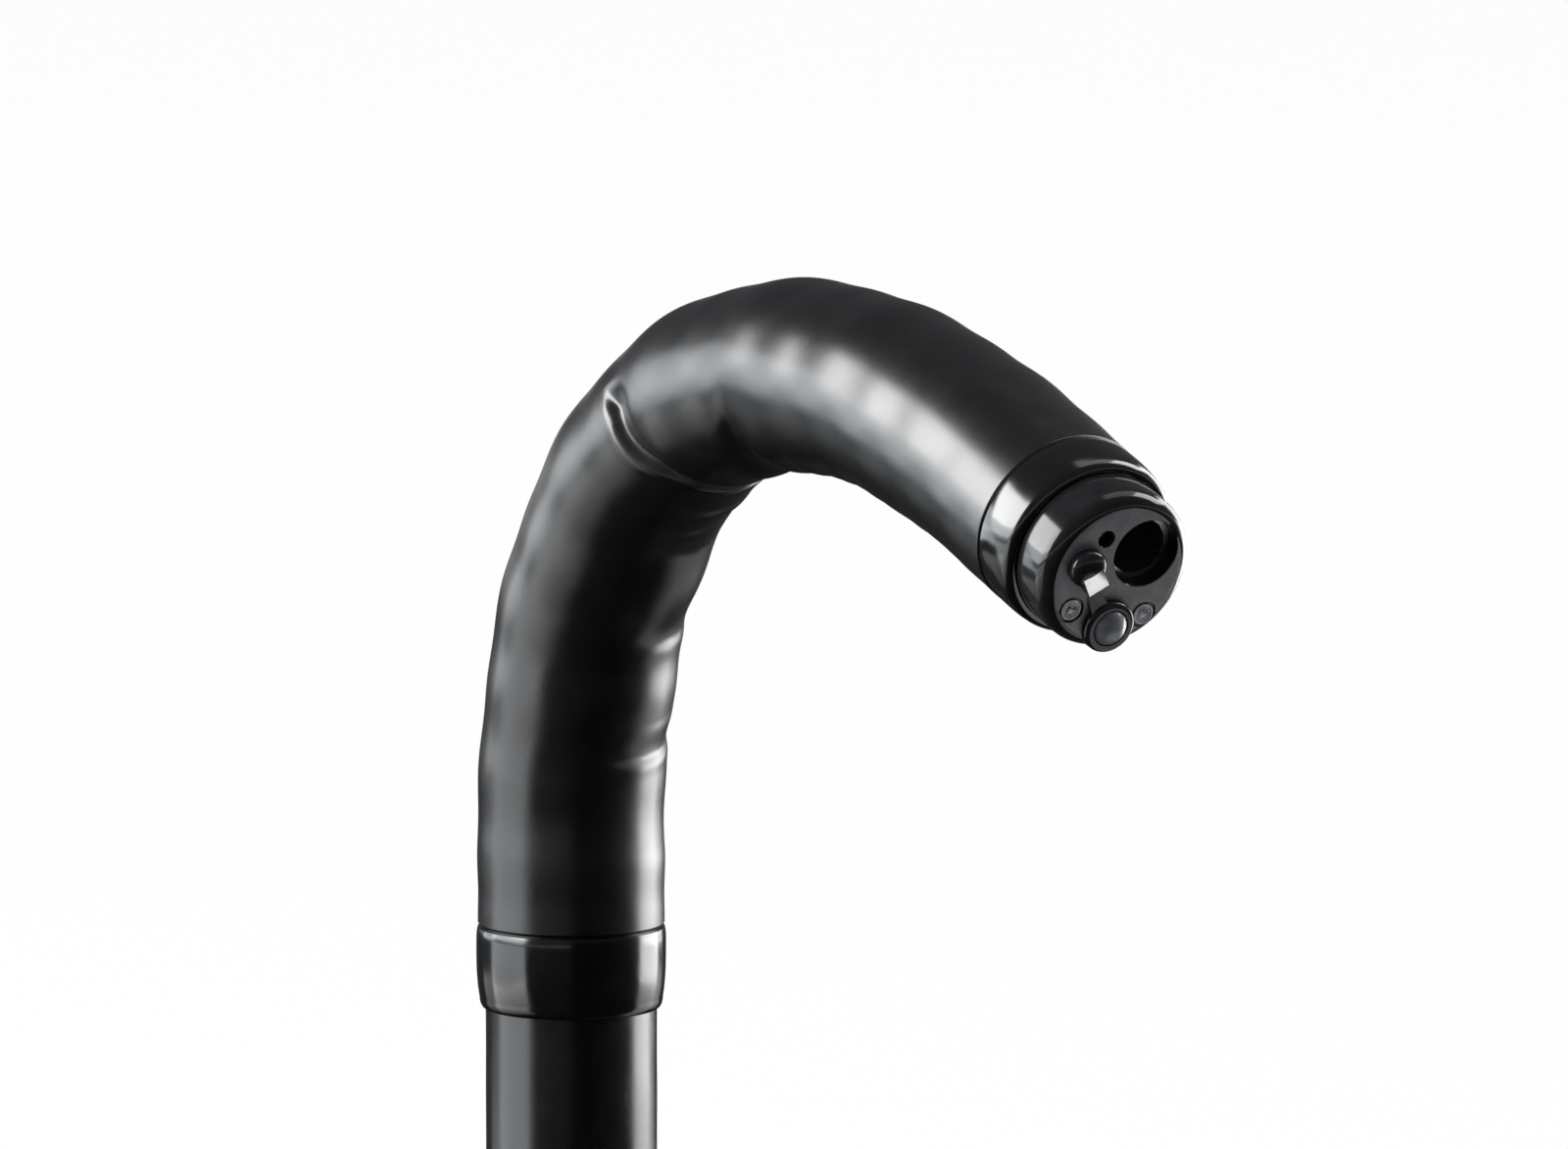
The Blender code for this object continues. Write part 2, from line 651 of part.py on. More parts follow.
def proximal_ferrule():
    """Stepped sleeve over the tube's lower end, with a spigot, a groove and three screw holes."""
    low = -TUBE_LENGTH
    shoulder = low + PROXIMAL_SPIGOT_LENGTH
    high = low + PROXIMAL_FERRULE_LENGTH
    bore = COIL_BORE
    sleeve = JACKET_RADIUS + SEAT_GAP
    spigot, outside = PROXIMAL_SPIGOT_RADIUS, PROXIMAL_SLEEVE_RADIUS
    groove, groove_end = low + PROXIMAL_GROOVE_AT, low + PROXIMAL_GROOVE_AT + PROXIMAL_GROOVE_WIDTH
    floor, lip = spigot - PROXIMAL_GROOVE_DEPTH, shoulder - PROXIMAL_LIP
    profile = [(bore, low), (spigot - PROXIMAL_EDGE, low), (spigot, low + PROXIMAL_EDGE), (spigot, groove),
               (floor, groove), (floor, groove_end), (spigot, groove_end), (spigot, lip), (outside, lip),
               (outside, high - PROXIMAL_SLEEVE_TAPER), (outside - PROXIMAL_LIP, high), (sleeve, high),
               (sleeve, shoulder), (bore, shoulder)]
    shape = turned(profile, 20)
    up = Vector((0, 0, low + PROXIMAL_SCREWS_AT))
    for step in range(PROXIMAL_SCREWS):
        angle = 2 * math.pi * step / PROXIMAL_SCREWS
        way = Vector((math.cos(angle), math.sin(angle), 0))
        hole = rod_along(PROXIMAL_SCREW_HOLE, 8, way * (bore - PAST) + up, way * (spigot + PAST) + up)
        shape = cut(shape, hole)
    return shape


def make_wires(steel, base):
    """Four angulation wires, each crimped beyond the last ring's guide, and their coiled sheaths."""
    crimp = TIP_JOINT + GUIDE_CENTRE + GUIDE_LENGTH / 2 + FIT_GAP
    end = crimp + WIRE_CRIMP_LENGTH

    def thick(station):
        return WIRE_CRIMP_RADIUS if station > crimp else WIRE_RADIUS

    for name, azimuth in (("up", 0), ("left", 90), ("down", 180), ("right", 270)):
        way = Vector((math.cos(math.radians(azimuth)), math.sin(math.radians(azimuth))))
        sheathed, guided = way * SHEATH_CIRCLE, way * WIRE_CIRCLE
        at = route(sheathed, (-WIRE_TURN_OUT, WIRE_TURN_IN, guided))
        stations = [LINE_START, -WIRE_TURN_OUT, (WIRE_TURN_IN - WIRE_TURN_OUT) / 2]
        stations += bend_stations(WIRE_TURN_IN, crimp) + [crimp + FIT_GAP / 2, end]
        wire = flexible(stations, at, thick, None, WIRE_SIDES)
        mesh_object(f"angulation_wire_{name}", wire, steel)
        sheath = tube(SHEATH_RADIUS, SHEATH_BORE, LINE_START, -SHEATH_END, 8, sheathed)
        mesh_object(f"wire_sheath_{name}", sheath, steel, None, base)


def make_lines(looks):
    """The instrument channel, light guides, cable and fluid tubes that run through the rings."""
    last = BLOCK_START - BAND_GAP
    shift = TIP_JOINT + GUIDE_CENTRE + GUIDE_LENGTH / 2 + WIRE_CRIMP_LENGTH
    fluid = (FLUID_TUBE_RADIUS, FLUID_TUBE_BORE, FLUID_SIDES, manifold_low())
    bundle = (BUNDLE_RADIUS, None, BUNDLE_SIDES, light_back())
    channel = (CHANNEL_RADIUS, CHANNEL_BORE, CHANNEL_SIDES, last)
    jet = (JET_TUBE_RADIUS, FLUID_TUBE_BORE, FLUID_SIDES, last)
    lines = (
        ("channel_tube", "liner", CHANNEL_AT, CHANNEL_AT_TIP, *channel),
        ("air_tube", "liner", AIR_AT, AIR_AT, *fluid),
        ("water_tube", "liner", WATER_AT, WATER_AT, *fluid),
        ("water_jet_tube", "liner", JET_AT, JET_AT_TIP, *jet),
        ("light_guide_left", "fibre", GUIDE_LEFT_AT, LIGHT_LEFT_AT, *bundle),
        ("light_guide_right", "fibre", GUIDE_RIGHT_AT, LIGHT_RIGHT_AT, *bundle),
    )
    for name, look, bend_at, tip_at, outer, bore, sides, end in lines:
        at = route(bend_at, (shift, last, tip_at))
        stations = bend_stations(LINE_START, shift)[:-1]
        stations += [s for s in steps_between(shift, last, 3) if s < end] + [end]
        mesh_object(name, flexible(stations, at, outer, bore, sides), looks[look])
    make_cable(looks["cable"], shift, last)


def make_cable(look, shift, last):
    """The sensor's cable, which thins before it turns out to the objective."""
    def thick(station):
        thin = smooth((station - shift) / (last - shift) * 2)
        return CABLE_RADIUS + (CABLE_END_RADIUS - CABLE_RADIUS) * thin

    at = route(CABLE_AT, (shift, last, OBJECTIVE_AT))
    stations = bend_stations(LINE_START, shift)[:-1] + steps_between(shift, last, 4)
    stations.append(sensor_low() - BAND_GAP)
    mesh_object("sensor_cable", flexible(stations, at, thick, None, LINE_SIDES), look)


def steps_between(start, end, count):
    return [start + (end - start) * step / count for step in range(count + 1)]


def tip_frame():
    """Tip pieces are modelled at their stations, and their parent is on the last joint."""
    return Matrix.Translation((0, 0, -TIP_JOINT))


def manifold_low():
    """Where the air and water tubes end, on the manifold that joins them."""
    return TIP_JOINT + GUIDE_CENTRE + GUIDE_LENGTH


def light_back():
    """Rear face of the light guide lenses."""
    return HOOD_INSIDE - LIGHT_TAIL


def bundle_bore():
    """Bore of the ferrule that a fibre bundle is glued into."""
    return BUNDLE_RADIUS + FIT_GAP / 2


def sensor_low():
    return DISTAL_RING_END + 2 * BAND_GAP


def spigot_pipe(outer, bore, spigot, centre, low, step, high, sides):
    """A pipe whose lower end steps down to a spigot inside a flexible tube."""
    narrow = spigot - SPIGOT_WALL
    profile = [(narrow, low), (spigot, low), (spigot, step), (outer, step), (outer, high), (bore, high),
               (bore, step + PIPE_TAPER), (narrow, step)]
    return turned(profile, sides, centre)


def tip_block():
    """Metal body of the tip: a spigot in the last ring, a collar under the cover and a nose in the hood."""
    collar = RING_RADIUS
    spigot = RING_BORE - SEAT_GAP
    nose = HOOD_BORE - FIT_GAP
    shoulder = DISTAL_RING_END + BAND_GAP
    profile = [(spigot, BLOCK_START), (spigot, shoulder), (collar, shoulder), (collar, BAND_END - FIT_GAP),
               (nose, BAND_END - FIT_GAP), (nose, HOOD_INSIDE - FIT_GAP)]
    shape = turned(profile, hollow=False)
    guide = bundle_bore() + BUNDLE_FERRULE_WALL
    bores = (
        (CHANNEL_RADIUS, CHANNEL_AT_TIP, 16), (BARREL_RADIUS, OBJECTIVE_AT, 16),
        (NOZZLE_SHANK, NOZZLE_AT, 12), (JET_TUBE_RADIUS, JET_AT_TIP, 10),
        (guide, LIGHT_LEFT_AT, 12), (guide, LIGHT_RIGHT_AT, 12),
    )
    for radius, centre, sides in bores:
        shape = cut(shape, rod(radius + FIT_GAP, BLOCK_START - PAST, TIP_FACE, sides, centre))
    return shape


def tip_hood():
    """Insulating hood: a cup with a rounded front edge, the raised objective boss and the openings."""
    edge = HOOD_EDGE
    rounding = [(HOOD_RADIUS - edge + edge * math.cos(a), TIP_FACE - edge + edge * math.sin(a))
                for a in (math.radians(step) for step in (0, 30, 60, 90))]
    rear = [(HOOD_RADIUS - HOOD_REAR_EDGE, HOOD_START), (HOOD_RADIUS, HOOD_START + HOOD_REAR_EDGE)]
    shape = turned(rear + rounding, hollow=False)
    shape = union(shape, objective_boss(), nozzle_ramp())
    shape = cut(shape, rod(HOOD_BORE, HOOD_START - PAST, HOOD_INSIDE, ROUND_SIDES))
    low, high = HOOD_INSIDE - PAST, TIP_FACE + NOZZLE_HEIGHT
    openings = ((CHANNEL_MOUTH, CHANNEL_AT_TIP, 20), (OBJECTIVE_RADIUS + FIT_GAP, OBJECTIVE_AT, 16),
                (NOZZLE_SHANK + FIT_GAP, NOZZLE_AT, 12), (JET_HOLE, JET_AT_TIP, 10),
                (LIGHT_RADIUS + FIT_GAP, LIGHT_LEFT_AT, 12), (LIGHT_RADIUS + FIT_GAP, LIGHT_RIGHT_AT, 12))
    for radius, centre, sides in openings:
        shape = cut(shape, rod(radius, low, high, sides, centre))
    for centre in (LIGHT_LEFT_AT, LIGHT_RIGHT_AT):
        shape = cut(shape, rod(LIGHT_SEAT_RADIUS, TIP_FACE - LIGHT_SEAT_DEPTH, high, 12, centre))
    return shape


def objective_boss():
    """The round raised seat of the front lens."""
    top = TIP_FACE + BOSS_HEIGHT
    profile = [(BOSS_RADIUS, TIP_FACE - HOOD_FRONT_WALL), (BOSS_RADIUS, TIP_FACE - BOSS_EDGE / 2),
               (BOSS_RADIUS - BOSS_EDGE, top - BOSS_EDGE), (BOSS_RADIUS - 2 * BOSS_EDGE, top)]
    return turned(profile, 20, OBJECTIVE_AT, hollow=False)


def spray_way():
    """Unit direction from the nozzle towards the objective."""
    return (Vector(OBJECTIVE_AT) - Vector(NOZZLE_AT)).normalized()


def across_block(spots, halves, heights):
    """A block along the spray's way: at each spot a half width and a low and high height."""
    way = spray_way()
    across = Vector((-way.y, way.x))
    rings = []
    for spot, half, (low, high) in zip(spots, halves, heights):
        left, right = spot + across * half, spot - across * half
        rings.append([Vector((left.x, left.y, low)), Vector((right.x, right.y, low)),
                      Vector((right.x, right.y, high)), Vector((left.x, left.y, high))])
    return loft(rings, False)


def nozzle_ramp():
    """Wedge between the nozzle's mouth and the boss, which leads the spray up onto the lens."""
    way = spray_way()
    start = Vector(NOZZLE_AT) + way * (NOZZLE_RADIUS + RAMP_GAPS[0])
    end = Vector(OBJECTIVE_AT) - way * (OBJECTIVE_RADIUS + RAMP_GAPS[1])
    heights = [(TIP_FACE - RAMP_ROOT, TIP_FACE + rise) for rise in RAMP_RISE]
    return across_block((start, end), RAMP_HALF, heights)


def air_water_nozzle():
    """Domed nozzle with a flat front and a slot that blows across the objective."""
    low = TIP_FACE + FIT_GAP
    top = low + NOZZLE_HEIGHT
    radius, reach = NOZZLE_RADIUS, 2 * NOZZLE_RADIUS
    dome = [(radius * math.cos(a), top - NOZZLE_DOME * (1 - math.sin(a)))
            for a in (math.radians(step) for step in (0, 30, 55, 78))]
    profile = [(NOZZLE_SHANK, HOOD_INSIDE - NOZZLE_TAIL), (NOZZLE_SHANK, low), (radius, low)] + dome
    shape = turned(profile, 16, NOZZLE_AT, hollow=False)
    way = spray_way()
    face = Vector(NOZZLE_AT) + way * NOZZLE_FACE
    shape = cut(shape, across_block((face, face + way * reach), (reach, reach), ((low, top + PAST),) * 2))
    slot = (low + SLOT_LOW, low + SLOT_LOW + SLOT_HEIGHT)
    shape = cut(shape, across_block((Vector(NOZZLE_AT), face + way), (SLOT_HALF, SLOT_HALF), (slot, slot)))
    return cut(shape, rod(NOZZLE_BORE, HOOD_INSIDE - NOZZLE_TAIL - PAST, slot[1] - SLOT_LOW, 8, NOZZLE_AT))


def air_water_manifold():
    """Y-shaped pipe that joins the air and water tubes behind the nozzle."""
    low = manifold_low() + BAND_GAP
    high = BLOCK_START - LINE_RECESS - BAND_GAP
    middle = (Vector(AIR_AT) + Vector(WATER_AT)) / 2
    half_x, half_y = MANIFOLD_HALF
    body = box((middle.x - half_x, middle.y - half_y, low), (middle.x + half_x, middle.y + half_y, high))
    outlet_end = HOOD_INSIDE - NOZZLE_TAIL - OUTLET_GAP
    body = union(body, rod(NOZZLE_SHANK - OUTLET_GAP, high - PAST, outlet_end, 12, NOZZLE_AT))
    spigot = FLUID_TUBE_BORE - SPIGOT_GAP
    gallery = low + GALLERY_HEIGHT
    for centre in (AIR_AT, WATER_AT):
        body = union(body, rod(spigot, low - SPIGOT_LENGTH, low + BAND_GAP, 8, centre))
    for centre in (AIR_AT, WATER_AT):
        start = low - SPIGOT_LENGTH - PAST
        body = cut(body, rod(spigot - SPIGOT_WALL, start, gallery + GALLERY_RADIUS, 6, centre))
    ends = [Vector((*centre, gallery)) for centre in (AIR_AT, WATER_AT)]
    body = cut(body, rod_along(GALLERY_RADIUS, 6, *ends))
    return cut(body, rod(MANIFOLD_BORE, gallery - OUTLET_GAP, HOOD_INSIDE, 8, NOZZLE_AT))


def objective_front_lens():
    """Domed front lens, seated in the boss."""
    low = HOOD_INSIDE + FRONT_LENS_SEAT
    rim = TIP_FACE + BOSS_HEIGHT - FIT_GAP / 2
    radius = OBJECTIVE_RADIUS
    dome = [(radius * math.cos(a), rim + OBJECTIVE_DOME * math.sin(a))
            for a in (math.radians(step) for step in (0, 25, 50, 75))]
    return turned([(radius, low)] + dome, 16, OBJECTIVE_AT, hollow=False)


def rear_lens(radius):
    """Lens group behind the front lens, with both faces narrower than its middle."""
    front = HOOD_INSIDE - REAR_LENS_DEPTH
    back = front - REAR_LENS_LENGTH
    profile = [(radius * REAR_LENS_FACES[1], back), (radius, back + REAR_LENS_EDGES[1]),
               (radius, front - REAR_LENS_EDGES[0]), (radius * REAR_LENS_FACES[0], front)]
    return turned(profile, 12, OBJECTIVE_AT, hollow=False)


def make_tip(looks, tip):
    """Everything that the last joint carries in front of its ring."""
    frame = tip_frame()
    mesh_object("tip_block", tip_block(), looks["steel"], frame, tip)
    mesh_object("tip_hood", tip_hood(), looks["hood"], frame, tip)
    mesh_object("objective_front_lens", objective_front_lens(), looks["glass"], frame, tip)
    barrel_bore = BARREL_RADIUS - BARREL_WALL
    seat = HOOD_INSIDE + FRONT_LENS_SEAT - FIT_GAP
    barrel = tube(BARREL_RADIUS, barrel_bore, DISTAL_RING_END + BAND_GAP, seat, 16, OBJECTIVE_AT)
    mesh_object("objective_barrel", barrel, looks["steel"], frame, tip)
    mesh_object("objective_rear_lens", rear_lens(barrel_bore - FIT_GAP / 2), looks["glass"], frame, tip)
    x, y = OBJECTIVE_AT
    low, half = sensor_low(), SENSOR_HALF
    sensor = box((x - half, y - half, low), (x + half, y + half, low + SENSOR_LENGTH))
    mesh_object("image_sensor", sensor, looks["sensor"], frame, tip)
    for side, centre in (("left", LIGHT_LEFT_AT), ("right", LIGHT_RIGHT_AT)):
        make_light(side, centre, looks, tip)
    ends = (BLOCK_START - BAND_GAP - PIPE_SPIGOT_LENGTH, BLOCK_START, HOOD_INSIDE)
    spigot = CHANNEL_BORE - 1.5 * SPIGOT_GAP
    channel = spigot_pipe(CHANNEL_RADIUS, CHANNEL_BORE, spigot, CHANNEL_AT_TIP, *ends, 16)
    mesh_object("channel_pipe", channel, looks["steel"], frame, tip)
    spigot = FLUID_TUBE_BORE - SPIGOT_GAP
    jet = spigot_pipe(JET_TUBE_RADIUS, FLUID_TUBE_BORE, spigot, JET_AT_TIP, *ends, 10)
    mesh_object("water_jet_pipe", jet, looks["steel"], frame, tip)
    mesh_object("air_water_manifold", air_water_manifold(), looks["steel"], frame, tip)
    mesh_object("air_water_nozzle", air_water_nozzle(), looks["nozzle"], frame, tip)


def make_light(side, centre, looks, tip):
    """A light guide lens and the ferrule that holds the end of the fibre bundle behind it."""
    back = light_back() + FIT_GAP
    front = TIP_FACE - LIGHT_RECESS
    profile = [(LIGHT_RADIUS, back), (LIGHT_RADIUS, front - LIGHT_EDGE), (LIGHT_RADIUS - LIGHT_EDGE, front)]
    lens = turned(profile, 12, centre, hollow=False)
    mesh_object(f"light_lens_{side}", lens, looks["glass"], tip_frame(), tip)
    bore, start = bundle_bore(), DISTAL_RING_END + BAND_GAP
    ferrule = tube(bore + BUNDLE_FERRULE_WALL, bore, start, light_back() - FIT_GAP, 12, centre)
    mesh_object(f"light_guide_ferrule_{side}", ferrule, looks["steel"], tip_frame(), tip)


def empty(name, frame):
    """An empty that carries the pieces of one body."""
    thing = bpy.data.objects.new(name, None)
    bpy.context.collection.objects.link(thing)
    set_frame(thing, frame)
    return thing


def main():
    for thing in list(bpy.data.objects):
        bpy.data.objects.remove(thing, do_unlink=True)
    looks = {
        "rubber": material("rubber", (0.012, 0.012, 0.013), 0.3),
        "jacket": material("jacket", (0.01, 0.01, 0.011), 0.22),
        "epoxy": material("epoxy", (0.008, 0.008, 0.009), 0.12),
        "hood": material("hood", (0.03, 0.032, 0.035), 0.25),
        "steel": material("steel", (0.62, 0.62, 0.6), 0.3, 1.0),
        "nozzle": material("nozzle", (0.5, 0.5, 0.5), 0.25, 1.0),
        "braid": material("braid", (0.55, 0.55, 0.53), 0.4, 1.0),
        "glass": material("glass", (0.25, 0.27, 0.3), 0.05),
        "sensor": material("sensor", (0.05, 0.07, 0.05), 0.5),
        "cable": material("cable", (0.08, 0.08, 0.09), 0.5),
        "liner": material("liner", (0.85, 0.85, 0.82), 0.4),
        "fibre": material("fibre", (0.5, 0.35, 0.12), 0.5),
    }
    base = empty("insertion_tube", Matrix.Translation((0, 0, TUBE_LENGTH)))
    tip = empty("tip", straight_frame(TIP_JOINT))
    make_insertion_tube(looks, base)
    make_rings(looks["steel"], tip)
    make_wires(looks["steel"], base)
    make_lines(looks)
    make_cover(looks["rubber"], looks["braid"])
    make_bands(looks["epoxy"], base, tip)
    make_tip(looks, tip)


main()
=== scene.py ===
"""Looks of the bending end of a flexible endoscope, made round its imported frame.

Shapes are modelled in millimetres and put into metres when a piece is made. A station is the distance along
the scope from the lower ferrule's face. A place on the scope is a station, a radius and an azimuth, where
azimuth 0 is the inner side of the curl and 90 degrees is the +Y side.
"""

import json
import math

import bpy
import numpy as np
from mathutils import Matrix, Vector

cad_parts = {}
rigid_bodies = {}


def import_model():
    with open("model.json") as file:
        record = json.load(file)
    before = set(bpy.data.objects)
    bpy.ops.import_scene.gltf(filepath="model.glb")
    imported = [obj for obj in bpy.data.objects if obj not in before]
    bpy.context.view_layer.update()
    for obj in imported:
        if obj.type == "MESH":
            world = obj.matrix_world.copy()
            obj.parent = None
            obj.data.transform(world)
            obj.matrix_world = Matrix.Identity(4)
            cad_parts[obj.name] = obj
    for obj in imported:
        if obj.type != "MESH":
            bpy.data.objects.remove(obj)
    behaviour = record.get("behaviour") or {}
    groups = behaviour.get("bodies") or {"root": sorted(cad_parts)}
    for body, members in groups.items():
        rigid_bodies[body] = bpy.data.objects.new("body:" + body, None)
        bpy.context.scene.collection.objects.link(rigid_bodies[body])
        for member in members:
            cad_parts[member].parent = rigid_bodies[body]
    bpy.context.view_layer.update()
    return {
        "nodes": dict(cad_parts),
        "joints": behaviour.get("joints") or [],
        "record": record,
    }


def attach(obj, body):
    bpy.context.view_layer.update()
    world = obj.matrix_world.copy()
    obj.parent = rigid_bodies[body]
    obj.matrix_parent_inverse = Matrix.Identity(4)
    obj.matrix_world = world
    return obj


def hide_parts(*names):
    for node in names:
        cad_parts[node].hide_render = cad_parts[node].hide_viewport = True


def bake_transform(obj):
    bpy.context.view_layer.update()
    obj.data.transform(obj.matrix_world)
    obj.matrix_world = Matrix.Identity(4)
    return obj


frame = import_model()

MM = 0.001
IMAGE_SIZE = (1600, 1172)

# Camera, in degrees, millimetres and pixels
CAMERA_AZIMUTH = 58.93
CAMERA_ELEVATION = 8.09
CAMERA_DISTANCE = 1000.0
CAMERA_TARGET = Vector((0.0, 0.0, 24.0))
CAMERA_SHIFTS = (10.24, 16.70)
PIXELS_PER_MM = 21.2
SENSOR_WIDTH = 36.0

# The scope's middle line: how far each corner is rounded, how finely it is sampled and how far it runs on
CURVE_SPREAD = 3.6
SAMPLE = 0.05
OVERRUN = 15.0
STRAIGHT_BEFORE = 20.0
STRAIGHT_AFTER = 40.0

# Rubber cover
COVER_RADIUS = 4.5
COVER_BORE = 4.04
COVER_NECK = 4.16
NECK_WALL = 0.36
NECK_RUN = 0.16
NECK_PAST_END = 0.12
RING_WAVE = 0.028
THINNEST_WALL = 0.12
COVER_TUCK = 0.3
COVER_SIDES = 192
COVER_ROW = 0.11

# Braid under the cover
BRAID_RADIUS = 4.0
BRAID_WALL = 0.1
BRAID_GAP = 0.03
BRAID_INSETS = (0.5, 1.2)
BRAID_SIDES = 64

# Binding bands
BAND_GAP = 0.1
BAND_BORE = 4.22
BAND_ROUNDING = 0.5
BAND_ROUNDING_REACH = 0.54
BAND_SIDES = 160
BAND_SWAY = 0.02
PROXIMAL_BAND = (19.9, 23.8)
PROXIMAL_BAND_RADIUS = 4.57
PROXIMAL_BAND_SHOULDER = 4.14
PROXIMAL_BAND_CROWN = 0.7
PROXIMAL_BAND_DROPS = (0.06, 0.25)
DISTAL_BAND_LENGTH = 2.6
DISTAL_BAND_RADIUS = 4.5
DISTAL_BAND_CROWN = 1.05
DISTAL_BAND_DROPS = (0.05, 0.18)

# Insertion tube and the ferrule at its lower end
TUBE_SIDES = 128
JACKET_RADIUS = 4.125
JACKET_BORE = 3.65
JACKET_ENDS = (3.7, 20.04)
FERRULE_LENGTH = 7.0
FERRULE_BORE = 3.09
FERRULE_RADIUS = 4.5
FERRULE_SEAT_GAP = 0.08
FERRULE_LIP = 0.2
SPIGOT_LENGTH = 3.6
SPIGOT_RADIUS = 3.9
SPIGOT_GROOVE = (2.52, 3.02)
SPIGOT_GROOVE_DEPTH = 0.25
SCREWS = 3
SCREWS_AT = 1.26
SCREW_HOLE = 0.5

# Hood and the openings of its face. A place on the face is its distance towards the inner side of the curl
# and its distance towards +Y.
HOOD_LENGTH = 2.45
HOOD_RADIUS = 3.95
HOOD_EDGE = 0.8
HOOD_WALL = 0.33
HOOD_PLATE = 0.8
HOOD_SIDES = 160
CHANNEL_AT = (-0.95, 1.32)
JET_AT = (-1.85, -1.0)
NOZZLE_AT = (-0.2, -1.67)
NOZZLE_SEAT = 0.59
LIGHTS_AT = {"left": (1.7, -2.15), "right": (2.25, 1.87)}
OBJECTIVE_AT = (2.62, -0.05)
OBJECTIVE_RADIUS = 0.85
OBJECTIVE_RISE = 0.42
BOSS_RADIUS = 1.32
BOSS_HEIGHT = 0.42
BOSS_EDGE = 0.24
RAMP_SLOPE = 0.25

# Nozzle
DOME_AT = (-0.55, -1.87)
DOME_RADIUS = 0.94
DOME_TOP = 0.8
STEM_RADIUS = 0.55
BILL_HEIGHT = 0.7
BILL_REACH = 1.12

# Stage: sizes of the floor and the card, and the card's height over the floor, in millimetres
FLOOR_REACH = 4000.0
CARD_REACH = 700.0
CARD_HEIGHT = 0.3


def chain():
    """The joints in order from the insertion tube to the tip."""
    by_parent = {joint["parent"]: joint for joint in frame["joints"]}
    body = next(name for name in by_parent if name not in {j["child"] for j in frame["joints"]})
    found = []
    while body in by_parent:
        found.append(by_parent[body])
        body = by_parent[body]["child"]
    return found


LINKS = chain()
ROOT, TIP = LINKS[0]["parent"], LINKS[-1]["child"]
PLACES = [Vector(link["pos_m"]) / MM for link in LINKS]
FACE = next(mount for mount in frame["record"]["mounts"] if mount["name"] == "tip_face")
TIP_WAY = Vector(FACE["axis"])
PITCH = (PLACES[1] - PLACES[0]).length
JOINT_STATIONS = [PLACES[0].z + PITCH * index for index in range(len(LINKS))]

# Stations of the tip's front face and of the cover's two ends
FRONT = JOINT_STATIONS[-1] + (Vector(FACE["pos_m"]) / MM - PLACES[-1]).dot(TIP_WAY)
COVER_START = PROXIMAL_BAND[1] + 2 * BAND_GAP
COVER_END = FRONT - HOOD_LENGTH - BAND_GAP - DISTAL_BAND_LENGTH


def smoothed_centreline():
    """Stations, places and directions of the cover's middle line, which rounds each joint's corner."""
    corners = [Vector((0, 0, -STRAIGHT_BEFORE))] + PLACES + [PLACES[-1] + TIP_WAY * STRAIGHT_AFTER]
    at = [-STRAIGHT_BEFORE] + JOINT_STATIONS + [JOINT_STATIONS[-1] + STRAIGHT_AFTER]
    stations = np.arange(-OVERRUN, FRONT + OVERRUN, SAMPLE)
    line = np.stack([np.interp(stations, at, [c.x for c in corners]),
                     np.interp(stations, at, [c.z for c in corners])])
    half = round(CURVE_SPREAD / SAMPLE)
    window = np.hanning(2 * half + 1)
    window /= window.sum()
    smooth = np.stack([np.convolve(row, window, "valid") for row in line])
    stations = stations[half:-half]
    way = np.gradient(smooth, axis=1)
    return stations, smooth, np.arctan2(way[0], way[1])


CENTRE_STATIONS, CENTRE_LINE, CENTRE_ANGLE = smoothed_centreline()


def on_scope(station, radius, azimuth):
    """World places in mm of points given by station, radius and azimuth, as arrays."""
    x = np.interp(station, CENTRE_STATIONS, CENTRE_LINE[0])
    z = np.interp(station, CENTRE_STATIONS, CENTRE_LINE[1])
    angle = np.interp(station, CENTRE_STATIONS, CENTRE_ANGLE)
    across, side = radius * np.cos(azimuth), radius * np.sin(azimuth)
    return np.stack([x + across * np.cos(angle), side, z - across * np.sin(angle)], axis=-1)


def rigid_frame(station):
    """Frame of the rigid chain at a station: z along the scope and x to the inner side of the curl."""
    spots = [Vector((0, 0, 0))] + PLACES
    at = [0.0] + JOINT_STATIONS
    index = max(k for k in range(len(at)) if at[k] <= station)
    way = (spots[index + 1] - spots[index]).normalized() if index + 1 < len(spots) else TIP_WAY
    side = Vector((0, 1, 0))
    turn = Matrix((side.cross(way), side, way)).transposed().to_4x4()
    return Matrix.Translation(spots[index] + way * (station - at[index])) @ turn


def tip_frame():
    """Tip pieces are modelled at their stations along the last body's axis."""
    return rigid_frame(FRONT) @ Matrix.Translation((0, 0, -FRONT))


TO_TIP = tip_frame().inverted()


def noise(nodes, links, where, scale):
    """A noise texture at the coordinates given by a socket."""
    made = nodes.new("ShaderNodeTexNoise")
    made.inputs["Scale"].default_value = scale
    made.inputs["Detail"].default_value = 3.0
    made.inputs["Roughness"].default_value = 0.55
    links.new(where, made.inputs["Vector"])
    return made


